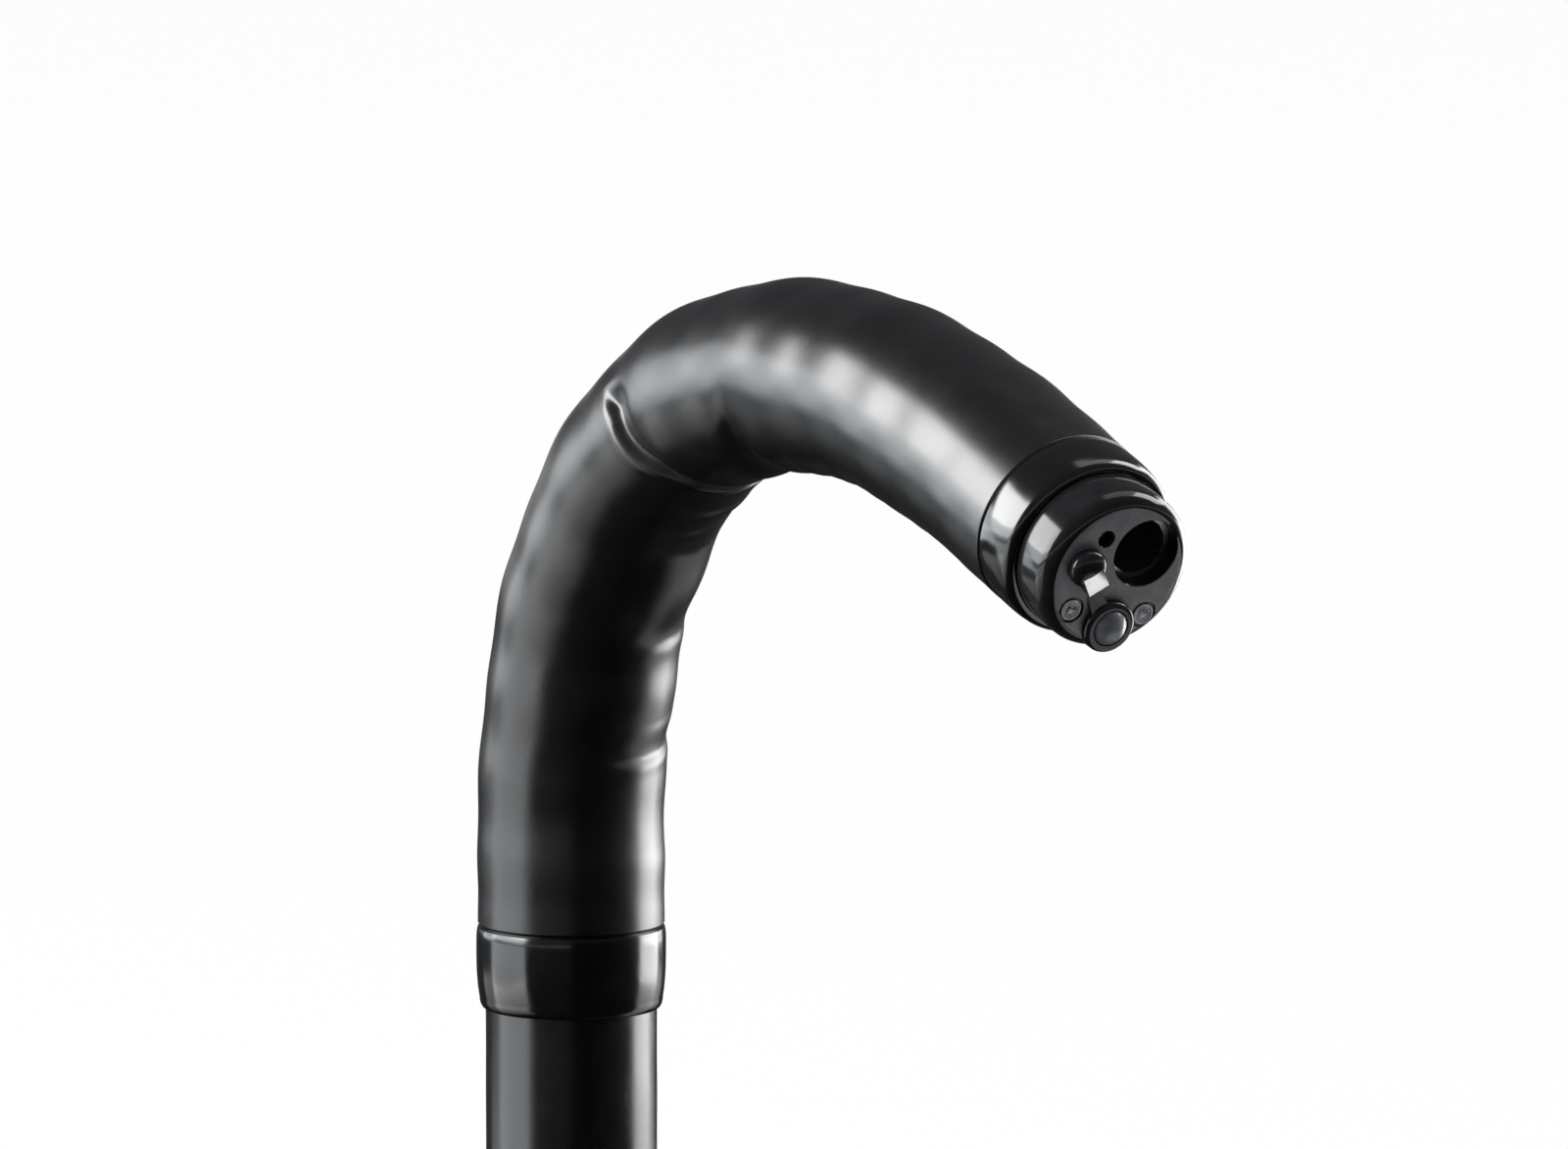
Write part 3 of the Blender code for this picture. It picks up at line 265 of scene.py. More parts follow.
def finish(name, tones, rough, grain, metallic=0.0, specular=0.5, relief=None, coat=0.0, stretch=None):
    """Procedural material whose noise lays out its two tones and its roughness.

    The scales of its noises are per metre, and each relief is a scale and a depth in mm.
    """
    made = bpy.data.materials.new(name)
    made.use_nodes = True
    nodes, links = made.node_tree.nodes, made.node_tree.links
    shader = nodes["Principled BSDF"]
    shader.inputs["Metallic"].default_value = metallic
    shader.inputs["Specular IOR Level"].default_value = specular
    shader.inputs["Coat Weight"].default_value = coat
    shader.inputs["Coat Roughness"].default_value = 0.05
    where = nodes.new("ShaderNodeTexCoord").outputs["Object"]
    if stretch:
        mapping = nodes.new("ShaderNodeMapping")
        mapping.inputs["Scale"].default_value = stretch
        links.new(where, mapping.inputs["Vector"])
        where = mapping.outputs["Vector"]
    broad = noise(nodes, links, where, grain)
    ramp = nodes.new("ShaderNodeValToRGB")
    for stop, at, tone in zip(ramp.color_ramp.elements, (0.35, 0.65), tones):
        stop.position, stop.color = at, (*tone, 1.0)
    links.new(broad.outputs["Fac"], ramp.inputs["Fac"])
    links.new(ramp.outputs["Color"], shader.inputs["Base Color"])
    spread = nodes.new("ShaderNodeMapRange")
    spread.inputs["From Min"].default_value = 0.3
    spread.inputs["From Max"].default_value = 0.7
    spread.inputs["To Min"].default_value, spread.inputs["To Max"].default_value = rough
    links.new(noise(nodes, links, where, grain * 0.6).outputs["Fac"], spread.inputs["Value"])
    links.new(spread.outputs["Result"], shader.inputs["Roughness"])
    below = None
    for scale, depth in relief or ((grain * 4, 0.002),):
        bump = nodes.new("ShaderNodeBump")
        bump.inputs["Distance"].default_value = depth * MM
        links.new(noise(nodes, links, where, scale).outputs["Fac"], bump.inputs["Height"])
        if below:
            links.new(below, bump.inputs["Normal"])
        below = bump.outputs["Normal"]
    links.new(below, shader.inputs["Normal"])
    return made


def floor_look():
    """Pale floor that stays near white to the camera and still takes the object's shadow."""
    made = bpy.data.materials.new("floor")
    made.use_nodes = True
    nodes, links = made.node_tree.nodes, made.node_tree.links
    shader = nodes["Principled BSDF"]
    shader.inputs["Base Color"].default_value = (0.9, 0.9, 0.9, 1.0)
    shader.inputs["Roughness"].default_value = 0.9
    shader.inputs["Specular IOR Level"].default_value = 0.1
    glow = nodes.new("ShaderNodeEmission")
    glow.inputs["Color"].default_value = (1.0, 1.0, 1.0, 1.0)
    glow.inputs["Strength"].default_value = 1.0
    path = nodes.new("ShaderNodeLightPath")
    seen = path.outputs["Is Camera Ray"]
    for kind in ("Is Glossy Ray", "Is Transmission Ray"):
        either = nodes.new("ShaderNodeMath")
        either.operation = "MAXIMUM"
        links.new(seen, either.inputs[0])
        links.new(path.outputs[kind], either.inputs[1])
        seen = either.outputs["Value"]
    share = nodes.new("ShaderNodeMapRange")
    share.inputs["To Max"].default_value = 0.97
    links.new(seen, share.inputs["Value"])
    mix = nodes.new("ShaderNodeMixShader")
    links.new(share.outputs["Result"], mix.inputs["Fac"])
    links.new(shader.outputs["BSDF"], mix.inputs[1])
    links.new(glow.outputs["Emission"], mix.inputs[2])
    links.new(mix.outputs["Shader"], nodes["Material Output"].inputs["Surface"])
    return made


def make_looks():
    """The finish of every material slot."""
    black = ((0.003, 0.003, 0.0032), (0.0045, 0.0045, 0.0048))
    looks = {}

    def add(name, *settings, **more):
        looks[name] = finish(name, *settings, **more)

    add("cover_rubber", black, (0.27, 0.33), 700.0, specular=1.0, relief=((500.0, 0.006), (2600.0, 0.001)))
    add("tube_jacket", black, (0.22, 0.28), 900.0, specular=1.0, relief=((700.0, 0.003), (4000.0, 0.0006)))
    add("band_epoxy", black, (0.13, 0.19), 800.0, specular=1.0, relief=((450.0, 0.01), (1800.0, 0.001)))
    add("hood_plastic", ((0.012, 0.012, 0.013), (0.018, 0.018, 0.02)), (0.1, 0.16), 1200.0,
        relief=((2500.0, 0.0008),))
    # The face's own grey plastic, painted lighter than its satin dark grey. This painted light stands in for
    # light that the face barely gets.
    add("face_plastic", ((0.25, 0.255, 0.27), (0.31, 0.315, 0.33)), (0.36, 0.44), 1500.0,
        relief=((6000.0, 0.0012),))
    # Painted shade: the walls inside the channel's mouth are darker, rougher and less glossy than the hood,
    # so that the recess shows black.
    add("bore_black", ((0.006, 0.006, 0.006), (0.01, 0.01, 0.01)), (0.5, 0.6), 1500.0, specular=0.3)
    add("steel", ((0.50, 0.49, 0.47), (0.60, 0.59, 0.57)), (0.28, 0.4), 1500.0, metallic=1.0,
        stretch=(1.0, 1.0, 4.0))
    # The nozzle is one metal part. Its bill's flat top is painted bright steel as a painted highlight, and
    # the rest is painted black as painted shade.
    add("nozzle_steel", ((0.74, 0.74, 0.75), (0.82, 0.82, 0.83)), (0.14, 0.22), 2500.0, metallic=1.0)
    add("nozzle_black", ((0.012, 0.012, 0.013), (0.022, 0.022, 0.024)), (0.16, 0.24), 2500.0)
    add("wire_braid", ((0.3, 0.3, 0.3), (0.62, 0.61, 0.6)), (0.3, 0.45), 4200.0, metallic=1.0,
        relief=((5000.0, 0.03),))
    add("lens_glass", ((0.18, 0.19, 0.21), (0.23, 0.24, 0.26)), (0.3, 0.38), 1500.0, coat=0.3)
    add("light_glass", ((0.06, 0.065, 0.07), (0.75, 0.77, 0.8)), (0.08, 0.15), 6000.0, coat=1.0,
        relief=((7000.0, 0.012),))
    add("light_rim", ((0.66, 0.67, 0.69), (0.76, 0.77, 0.79)), (0.2, 0.3), 3000.0)
    looks["floor"] = floor_look()
    add("card", ((0.01, 0.01, 0.01), (0.012, 0.012, 0.012)), (0.08, 0.1), 100.0, relief=((50.0, 0.001),))
    add("sensor_package", ((0.01, 0.02, 0.012), (0.03, 0.05, 0.03)), (0.3, 0.4), 3000.0)
    add("cable_jacket", ((0.03, 0.03, 0.033), (0.05, 0.05, 0.055)), (0.4, 0.5), 1800.0)
    add("tube_liner", ((0.72, 0.72, 0.69), (0.8, 0.8, 0.77)), (0.3, 0.38), 900.0)
    add("fibre_bundle", ((0.35, 0.33, 0.28), (0.62, 0.6, 0.52)), (0.35, 0.5), 9000.0)
    return looks


LOOKS = make_looks()


def make_object(name, corners, faces, looks, frame_at=None):
    """An object in metres at the world's origin, from corners in millimetres."""
    mesh = bpy.data.meshes.new(name)
    mesh.from_pydata([tuple(c) for c in corners], [], faces)
    mesh.transform(Matrix.Scale(MM, 4) @ (frame_at or Matrix.Identity(4)))
    for look in looks:
        mesh.materials.append(LOOKS[look])
    thing = bpy.data.objects.new(name, mesh)
    bpy.context.scene.collection.objects.link(thing)
    return thing


def shade(thing, angle=32.0):
    """Smooth shading with sharp edges above an angle in degrees."""
    thing.data.shade_smooth()
    thing.data.set_sharp_from_angle(angle=math.radians(angle))


def settle(thing, nodes, body=None):
    """Hides the CAD parts that a piece stands for, and attaches it to the body that carries it, if one is
    given.
    """
    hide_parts(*nodes)
    if body:
        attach(thing, body)


def grid_faces(rows, columns, first=0, flip=False):
    """Quads of a sheet closed round its columns."""
    faces = []
    for row in range(rows - 1):
        for column in range(columns):
            after = (column + 1) % columns
            a, b = first + row * columns + column, first + row * columns + after
            quad = (a, b, b + columns, a + columns)
            faces.append(quad[::-1] if flip else quad)
    return faces


def shell(name, outside, inside, looks):
    """Closed wall between two grids of points, each (rows, columns, 3) and from low to high."""
    columns = outside.shape[1]
    outer, inner = outside.reshape(-1, 3), inside.reshape(-1, 3)
    first = len(outer)
    faces = grid_faces(outside.shape[0], columns) + grid_faces(inside.shape[0], columns, first, True)
    for low, high in ((first, 0), (first - columns, len(outer) + len(inner) - columns)):
        for column in range(columns):
            after = (column + 1) % columns
            faces.append((low + column, low + after, high + after, high + column))
    return make_object(name, np.concatenate([outer, inner]), faces, looks)


def rod_grid(name, grids, looks):
    """Several closed round rods as one mesh, each a grid of points (rows, columns, 3)."""
    corners, faces = [], []
    for grid in grids:
        rows, columns, _ = grid.shape
        first = sum(len(c) for c in corners)
        corners.append(grid.reshape(-1, 3))
        faces += grid_faces(rows, columns, first)
        faces.append(tuple(range(first + columns - 1, first - 1, -1)))
        last = first + (rows - 1) * columns
        faces.append(tuple(range(last, last + columns)))
    return make_object(name, np.concatenate(corners), faces, looks)


def turned(profile, sides, closed=True, centre=(0.0, 0.0)):
    """Corners and faces of a profile of (radius, station) turned about an axis.

    Closed joins the profile's two ends. Otherwise a flat face closes each of them.
    """
    azimuth = np.linspace(0, 2 * math.pi, sides, endpoint=False)
    x, y = centre
    rows = [np.stack([x + r * np.cos(azimuth), y + r * np.sin(azimuth), np.full(sides, z)], -1)
            for r, z in profile]
    faces = grid_faces(len(rows), sides)
    last = (len(rows) - 1) * sides
    if closed:
        faces += [(last + c, last + (c + 1) % sides, (c + 1) % sides, c) for c in range(sides)]
    else:
        faces.append(tuple(range(sides - 1, -1, -1)))
        faces.append(tuple(range(last, last + sides)))
    return np.concatenate(rows), faces


def arc(radius, centre, start, end, steps):
    """Profile points of a rounding, with angles in degrees from straight out."""
    return [(centre[0] + radius * math.cos(a), centre[1] + radius * math.sin(a))
            for a in np.radians(np.linspace(start, end, steps + 1))]


def seam_stations(start, end):
    """Ends of the pieces split along the scope: half way between neighbouring joints."""
    middles = [(a + b) / 2 for a, b in zip(JOINT_STATIONS, JOINT_STATIONS[1:])]
    return [start] + middles + [end]


def blend_at(thing, index):
    """Bakes a piece's place into its mesh, whichever link it belongs to."""
    link = LINKS[index]
    if link is LINKS[-1]:
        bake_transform(thing)
    else:
        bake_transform(thing)


def steps(start, end, size):
    """Stations between two ends, at about a given distance."""
    return np.linspace(start, end, max(2, round((end - start) / size) + 1))


def eased(share):
    """Smooth rise from 0 to 1."""
    share = np.clip(share, 0.0, 1.0)
    return share * share * (3 - 2 * share)


# Creases of the rubber on the inner side of the curl. Each has its path as (azimuth in degrees, station), the
# half width of the groove, its depth, how far its lips rise as a share of the depth, and the degrees over
# which it fades at either end. The rubber above a groove rolls over it, so that side is ROLL_OVER times as
# wide, and its lip only rises by LIP_ABOVE of the other's. GROOVE_SPREAD sets how softly a groove runs out,
# and PATH_WINDOW over how many degrees the corners of a path are rounded.
CREASES = (
    (((-119, 53.9), (-106, 54.3), (-94, 54.5), (-82, 54.35), (-62, 54.6), (-43, 55.3), (-17, 55.6),
      (25, 55.5), (60, 55.0), (95, 54.6), (115, 54.2)), 0.44, 0.55, 0.42, 20),
    (((-105, 65.2), (-88, 65.1), (-70, 64.7), (-53, 63.9), (-36, 62.8), (-15, 62.0), (12, 61.6),
      (45, 62.5), (80, 64.0)), 0.95, 0.27, 0.45, 60),
    (((-25, 33.7), (20, 33.4), (90, 33.8)), 0.5, 0.16, 0.6, 40),
    (((-20, 40.4), (20, 40.75), (90, 40.3)), 0.9, 0.12, 0.5, 40),
    (((-25, 35.6), (20, 35.2), (80, 35.6)), 0.45, 0.05, 0.3, 40),
    (((-25, 28.2), (20, 27.9), (80, 28.2)), 0.6, 0.05, 0.3, 40),
    (((-50, 52.2), (-15, 52.8), (20, 52.8), (60, 52.3)), 0.55, 0.15, 0.6, 40),
    (((-40, 50.3), (0, 50.9), (20, 50.9), (60, 50.3)), 0.6, 0.1, 0.6, 40),
    (((-40, 47.6), (10, 47.2), (70, 47.6)), 0.9, 0.07, 0.4, 50),
    (((-62, 70.6), (-40, 69.6), (0, 69.0), (50, 70.0)), 0.6, 0.1, 0.5, 50),
    (((-75, 73.9), (-40, 73.2), (0, 72.9), (50, 73.4)), 0.65, 0.08, 0.5, 55),
    (((-75, 77.6), (-30, 77.1), (30, 77.4)), 0.7, 0.06, 0.5, 50),
    (((-75, 81.9), (-30, 81.6), (30, 81.8)), 0.7, 0.06, 0.5, 50),
    (((-75, 85.4), (-30, 85.2), (30, 85.4)), 0.7, 0.04, 0.5, 50),
)
ROLL_OVER = 2.0
LIP_ABOVE = 0.3
GROOVE_SPREAD = 1.4
PATH_WINDOW = 33

# Swellings of the rubber between its creases, each with its middle as (azimuth in degrees, station), its
# half widths in degrees and along the scope, and its height.
LOBES = (
    ((-35.0, 58.6), (60.0, 2.3), 0.12),
    ((-45.0, 57.2), (40.0, 1.1), 0.12),
    ((-25.0, 65.8), (45.0, 2.0), 0.22),
    ((0.0, 36.8), (60.0, 1.4), 0.1),
    ((0.0, 43.3), (60.0, 1.8), 0.06),
)


def crease_path(path, degrees):
    """Station of a crease at each azimuth, its corners rounded."""
    turns, stops = zip(*path)
    fine = np.arange(-220.0, 221.0)
    window = np.hanning(PATH_WINDOW)
    smooth = np.convolve(np.interp(fine, turns, stops), window / window.sum(), "same")
    return np.interp(degrees, fine, smooth)


def crease_depth(station, azimuth):
    """How far the creases move the rubber outwards at each point."""
    degrees = np.degrees(np.arctan2(np.sin(azimuth), np.cos(azimuth)))
    lift = np.zeros_like(degrees)
    for path, width, depth, lips, fade in CREASES:
        first, last = path[0][0], path[-1][0]
        share = (station - crease_path(path, degrees)) / width
        share = np.where(share > 0, share / ROLL_OVER, share)
        ends = eased((degrees - first) / fade) * eased((last - degrees) / fade)
        lip = np.where(share < 0, lips, LIP_ABOVE * lips) * share * share
        lift -= depth * ends * (1 - lip) * np.exp(-share * share / GROOVE_SPREAD)
    for (turn, stop), (half_turn, half_length), rise in LOBES:
        lift += rise * np.exp(-((degrees - turn) / half_turn) ** 2 - ((station - stop) / half_length) ** 2)
    return lift


def cover_radius(station, azimuth):
    """Outside of the rubber: necked under both bands, drawn in a little between the rings, and creased."""
    low, high = COVER_START, COVER_END
    neck = eased(np.minimum(station - low + NECK_RUN, high + NECK_PAST_END - station) / NECK_RUN)
    within = eased((station - low) / 2) * eased((high - station) / 2)
    ring = RING_WAVE * np.cos((station - JOINT_STATIONS[0]) / PITCH * 2 * math.pi)
    shape = COVER_RADIUS - COVER_NECK + within * (ring + crease_depth(station, azimuth))
    return COVER_NECK + shape * neck


def cover_bore(station, azimuth):
    """Inside of the rubber, which the creases press in."""
    bore = np.where((station < COVER_START) | (station > COVER_END), COVER_NECK - NECK_WALL, COVER_BORE)
    return np.minimum(bore, cover_radius(station, azimuth) - THINNEST_WALL)


def cover_surface(station, azimuth):
    """Places on the outside of the rubber."""
    return on_scope(station, cover_radius(station, azimuth), azimuth)


def cover_normals(station, azimuth):
    """Outward unit normals of the rubber, which run smoothly across the seams between its pieces."""
    step = 0.02
    turn = step / COVER_RADIUS
    along = cover_surface(station + step, azimuth) - cover_surface(station - step, azimuth)
    around = cover_surface(station, azimuth + turn) - cover_surface(station, azimuth - turn)
    normal = np.cross(around, along)
    return normal / np.linalg.norm(normal, axis=-1, keepdims=True)


def set_outside_normals(thing, normals):
    """Gives the first corners of a mesh these normals, and leaves the caps and the bore as they are."""
    mesh = thing.data
    mesh.shade_smooth()
    count = len(normals)
    vectors = np.zeros((len(mesh.loops), 3))
    for polygon in mesh.polygons:
        if all(v < count for v in polygon.vertices):
            for loop in polygon.loop_indices:
                vectors[loop] = normals[mesh.loops[loop].vertex_index]
    mesh.normals_split_custom_set([tuple(v) for v in vectors])


def make_cover():
    """The rubber cover, one piece for each joint that bends it."""
    turn = np.linspace(0, 2 * math.pi, COVER_SIDES, endpoint=False)
    seams = seam_stations(PROXIMAL_BAND[0] + COVER_TUCK, COVER_END + DISTAL_BAND_LENGTH - BAND_GAP)
    for index, (start, end) in enumerate(zip(seams, seams[1:])):
        station, azimuth = np.meshgrid(steps(start, end, COVER_ROW), turn, indexing="ij")
        outside = cover_surface(station, azimuth)
        inside = on_scope(station, cover_bore(station, azimuth), azimuth)
        piece = shell(f"bending_cover_{index + 1:02d}", outside, inside, ["cover_rubber"])
        set_outside_normals(piece, cover_normals(station, azimuth).reshape(-1, 3))
        settle(piece, ["bending_cover"])
        blend_at(piece, index)


def make_braid():
    """The fine wire braid under the cover."""
    turn = np.linspace(0, 2 * math.pi, BRAID_SIDES, endpoint=False)
    seams = seam_stations(COVER_START + BRAID_INSETS[0], COVER_END - BRAID_INSETS[1])
    for index, (start, end) in enumerate(zip(seams, seams[1:])):
        station, azimuth = np.meshgrid(steps(start, end, 0.5), turn, indexing="ij")
        reach = np.minimum(BRAID_RADIUS, cover_bore(station, azimuth) - BRAID_GAP)
        outside = on_scope(station, reach, azimuth)
        inside = on_scope(station, reach - BRAID_WALL, azimuth)
        piece = shell(f"bending_braid_{index + 1:02d}", outside, inside, ["wire_braid"])
        shade(piece)
        settle(piece, ["bending_braid"])
        blend_at(piece, index)


def line_grid(start, end, place, radius, sides, size=0.5):
    """Skin of a line along the scope, whose place across it and radius are functions of the station."""
    station = steps(start, end, size)
    turn = np.linspace(0, 2 * math.pi, sides, endpoint=False)
    spots = np.array([place(s) for s in station])
    radii = np.array([radius(s) for s in station])
    x = spots[:, 0:1] + radii[:, None] * np.cos(turn)
    y = spots[:, 1:2] + radii[:, None] * np.sin(turn)
    return on_scope(np.repeat(station[:, None], sides, 1), np.hypot(x, y), np.arctan2(y, x))


def moving_place(first, begin, finish_at, last):
    """Place in the cross-section that eases from one spot to another between two stations."""
    a, b = np.array(first), np.array(last)
    return lambda station: a + (b - a) * float(eased((station - begin) / (finish_at - begin)))


def line_radius(name, radius):
    """Radius of a line at a station: only the camera's cable changes, where it thins out into the tip."""
    if name != "sensor_cable":
        return lambda station: radius
    run = LINE_END - SHIFT
    return lambda station: radius + (CABLE_IN_TIP - radius) * float(eased((station - SHIFT) / run * 2))


# Lines inside the scope: where they start, where they shift to their places in the tip, and where they end.
# Each has its name, its slot, its place in the bending section and in the tip, its radius, its bore, its
# number of sides and its end.
LAST_JOINT = JOINT_STATIONS[-1]
BLOCK_LENGTH = 7.8
LINE_GAP = 0.1
SHIFT = LAST_JOINT + 2.1
FLUID_END = LAST_JOINT + 2.0
LINE_END = FRONT - BLOCK_LENGTH - LINE_GAP
LINE_START = 0.2
GUIDE_END = FRONT - 1.0
CABLE_END = FRONT - 5.7
CABLE_IN_TIP = 0.45
LINES = (
    ("channel_tube", "tube_liner", (-0.82, 0.82), CHANNEL_AT, 1.65, 1.4, 32, LINE_END),
    ("air_tube", "tube_liner", (0.27, -1.6), (0.27, -1.6), 0.5, 0.34, 16, FLUID_END),
    ("water_tube", "tube_liner", (-0.85, -1.45), (-0.85, -1.45), 0.5, 0.34, 16, FLUID_END),
    ("water_jet_tube", "tube_liner", (-1.9, -1.05), JET_AT, 0.45, 0.34, 16, LINE_END),
    ("light_guide_left", "fibre_bundle", (1.45, -1.5), LIGHTS_AT["left"], 0.42, None, 16, GUIDE_END),
    ("light_guide_right", "fibre_bundle", (1.35, 1.65), LIGHTS_AT["right"], 0.42, None, 16, GUIDE_END),
    ("sensor_cable", "cable_jacket", (1.45, 0.1), OBJECTIVE_AT, 0.75, None, 24, CABLE_END),
)

# Pull wires: their distances from the axis in the tube and in the rings, the stations between which they
# spread out, and the crimp that ends each of them.
WIRE_DISTANCES = (2.65, 2.83)
WIRE_SPREAD = (23.4, 26.0)
WIRE_RADIUS = 0.17
CRIMP_RADIUS = 0.34
CRIMP_START = LAST_JOINT + 1.74
CRIMP_LENGTH = 0.4


def make_lines():
    """Channel, fluid tubes, fibre bundles and cable, in one piece for each joint."""
    for name, slot, bend_at, tip_at, radius, bore, sides, end in LINES:
        place = moving_place(bend_at, SHIFT, LINE_END, tip_at)
        seams = seam_stations(LINE_START, end)
        for index, (low, high) in enumerate(zip(seams, seams[1:])):
            outside = line_grid(low, high, place, line_radius(name, radius), sides)
            label = f"{name}_{index + 1:02d}"
            if bore:
                inside = line_grid(low, high, place, line_radius(name, bore), sides)
                piece = shell(label, outside, inside, [slot])
            else:
                piece = rod_grid(label, [outside], [slot])
            shade(piece)
            settle(piece, [name])
            blend_at(piece, index)


def wire_radius(station):
    """Radius of a pull wire, which is thicker where it is crimped."""
    return CRIMP_RADIUS if station > CRIMP_START else WIRE_RADIUS


def make_wires():
    """The four pull wires with their crimps, all in one piece for each joint."""
    seams = seam_stations(LINE_START, CRIMP_START + CRIMP_LENGTH)
    names = [f"angulation_wire_{way}" for way in ("up", "left", "down", "right")]
    tube_distance, ring_distance = WIRE_DISTANCES
    for index, (low, high) in enumerate(zip(seams, seams[1:])):
        grids = []
        for quarter in range(len(names)):
            way = np.array([math.cos(quarter * math.pi / 2), math.sin(quarter * math.pi / 2)])
            place = moving_place(way * tube_distance, *WIRE_SPREAD, way * ring_distance)
            grids.append(line_grid(low, high, place, wire_radius, 10, 0.4))
        piece = rod_grid(f"angulation_wires_{index + 1:02d}", grids, ["steel"])
        shade(piece)
        settle(piece, names)
        blend_at(piece, index)


def band_profile(radius, near, far, peak, drops, shoulder):
    """A coat from its end at the cover to its far end, where it rounds down to its shoulder.

    It is widest at its peak, and drops are how much it has lost at either end.
    """
    way = 1 if far > near else -1
    rounding = far - BAND_ROUNDING * way
    points = [(BAND_BORE, near)]
    for z in np.linspace(near, rounding, 40):
        drop, end = (drops[0], near) if (z - peak) * way < 0 else (drops[1], far)
        points.append((radius - drop * abs((z - peak) / (end - peak)) ** 3, z))
    fall = points[-1][0] - shoulder
    for angle in np.radians(np.linspace(15, 90, 8)):
        z = rounding + BAND_ROUNDING_REACH * way * math.sin(angle)
        points.append((shoulder + fall * math.cos(angle), z))
    inner_end = far - 0.06 * way
    points += [(shoulder, inner_end), (BAND_BORE, inner_end)]
    return points if way > 0 else points[::-1]


def make_band(name, body, frame_at, radius, near, far, peak, drops, shoulder):
    """A binding band whose epoxy has run a little unevenly round the thread."""
    corners, faces = turned(band_profile(radius, near, far, peak, drops, shoulder), BAND_SIDES)
    azimuth = np.arctan2(corners[:, 1], corners[:, 0])
    share = np.clip((corners[:, 2] - near) / (far - near), 0, 1)
    wave = 0.6 * np.sin(3 * azimuth + 0.7) + 0.4 * np.sin(7 * azimuth + 2.1)
    lift = BAND_SWAY * wave * np.sin(share * math.pi)
    outer = np.hypot(corners[:, 0], corners[:, 1]) > BAND_BORE + 0.03
    corners[:, 0] += np.where(outer, lift * np.cos(azimuth), 0)
    corners[:, 1] += np.where(outer, lift * np.sin(azimuth), 0)
    piece = make_object(f"{name}_coat", corners, faces, ["band_epoxy"], frame_at)
    shade(piece, 40)
    settle(piece, [name], body)


def make_bands():
    """The bound and sealed ends of the cover, on the insertion tube and on the tip."""
    end, start = PROXIMAL_BAND
    make_band("proximal_binding_band", ROOT, None, PROXIMAL_BAND_RADIUS, start, end,
              start - PROXIMAL_BAND_CROWN, PROXIMAL_BAND_DROPS, PROXIMAL_BAND_SHOULDER)
    start, end = COVER_END + BAND_GAP, COVER_END + DISTAL_BAND_LENGTH
    make_band("distal_binding_band", TIP, tip_frame(), DISTAL_BAND_RADIUS, start, end,
              COVER_END + DISTAL_BAND_CROWN, DISTAL_BAND_DROPS, HOOD_RADIUS + 0.04)


def make_jacket():
    """Extruded jacket of the insertion tube, with the faint waves of an extrusion."""
    low, high = JACKET_ENDS
    skin = [(JACKET_RADIUS + 0.004 * math.sin(z * 1.3), z) for z in np.linspace(low, high, 60)]
    profile = [(JACKET_BORE, low)] + skin + [(JACKET_BORE, high)]
    piece = make_object("insertion_tube_skin", *turned(profile, TUBE_SIDES), ["tube_jacket"])
    shade(piece)
    settle(piece, ["insertion_tube_jacket"], ROOT)


def combine(base, tools, operation):
    """Boolean of a mesh object with a list of tool objects, which are used up."""
    for cutter in tools:
        change = base.modifiers.new(operation, "BOOLEAN")
        change.operation, change.solver, change.object = operation, "EXACT", cutter
    made = baked(base)
    for cutter in tools:
        bpy.data.objects.remove(cutter)
    return made


def baked(base):
    """Puts the result of an object's modifiers in its mesh."""
    bpy.context.view_layer.update()
    made = bpy.data.meshes.new_from_object(base.evaluated_get(bpy.context.evaluated_depsgraph_get()))
    base.modifiers.clear()
    base.data = made
    return base


def soften(thing, angle):
    """Smooth shading that keeps big flat faces flat beside a rounding."""
    shade(thing, angle)
    weigh = thing.modifiers.new("weigh", "WEIGHTED_NORMAL")
    weigh.keep_sharp = True
    baked(thing)


def make_ferrule():
    """Turned ferrule at the tube's lower end, with a grooved spigot and three screw holes."""
    sleeve, edge, corner = JACKET_RADIUS + FERRULE_SEAT_GAP, 0.12, 0.06
    lip, floor = SPIGOT_LENGTH - FERRULE_LIP, SPIGOT_RADIUS - SPIGOT_GROOVE_DEPTH
    start, stop = SPIGOT_GROOVE
    profile = [(FERRULE_BORE, 0.0)] + arc(edge, (SPIGOT_RADIUS - edge, edge), -90, 0, 6)
    profile += [(SPIGOT_RADIUS, start), (floor, start), (floor, stop), (SPIGOT_RADIUS, stop),
                (SPIGOT_RADIUS, lip)]
    profile += arc(corner, (FERRULE_RADIUS - corner, lip + corner), -90, 0, 4)
    profile += [(FERRULE_RADIUS, FERRULE_LENGTH - 0.5), (FERRULE_RADIUS - 0.19, FERRULE_LENGTH - 0.02),
                (FERRULE_RADIUS - 0.22, FERRULE_LENGTH), (sleeve, FERRULE_LENGTH), (sleeve, SPIGOT_LENGTH),
                (FERRULE_BORE, SPIGOT_LENGTH)]
    piece = make_object("proximal_ferrule_turned", *turned(profile, TUBE_SIDES), ["steel"])
    drills = []
    drill = turned([(SCREW_HOLE, FERRULE_BORE - 0.5), (SCREW_HOLE, SPIGOT_RADIUS + 0.5)], 32, False)
    for number in range(SCREWS):
        angle = 2 * math.pi * number / SCREWS
        way = Vector((math.cos(angle), math.sin(angle), 0.0))
        seat = Matrix.Translation((0.0, 0.0, SCREWS_AT)) @ way.to_track_quat("Z", "Y").to_matrix().to_4x4()
        drills.append(make_object("drill", *drill, ["steel"], seat))
    soften(combine(piece, drills, "DIFFERENCE"), 25)
    settle(piece, ["proximal_ferrule"], ROOT)


def turned_tool(profile, sides, centre):
    """A turned shape at a place on the tip's face, to add to a piece or to cut it with."""
    return make_object("tool", *turned(profile, sides, False, centre), ["hood_plastic"], tip_frame())


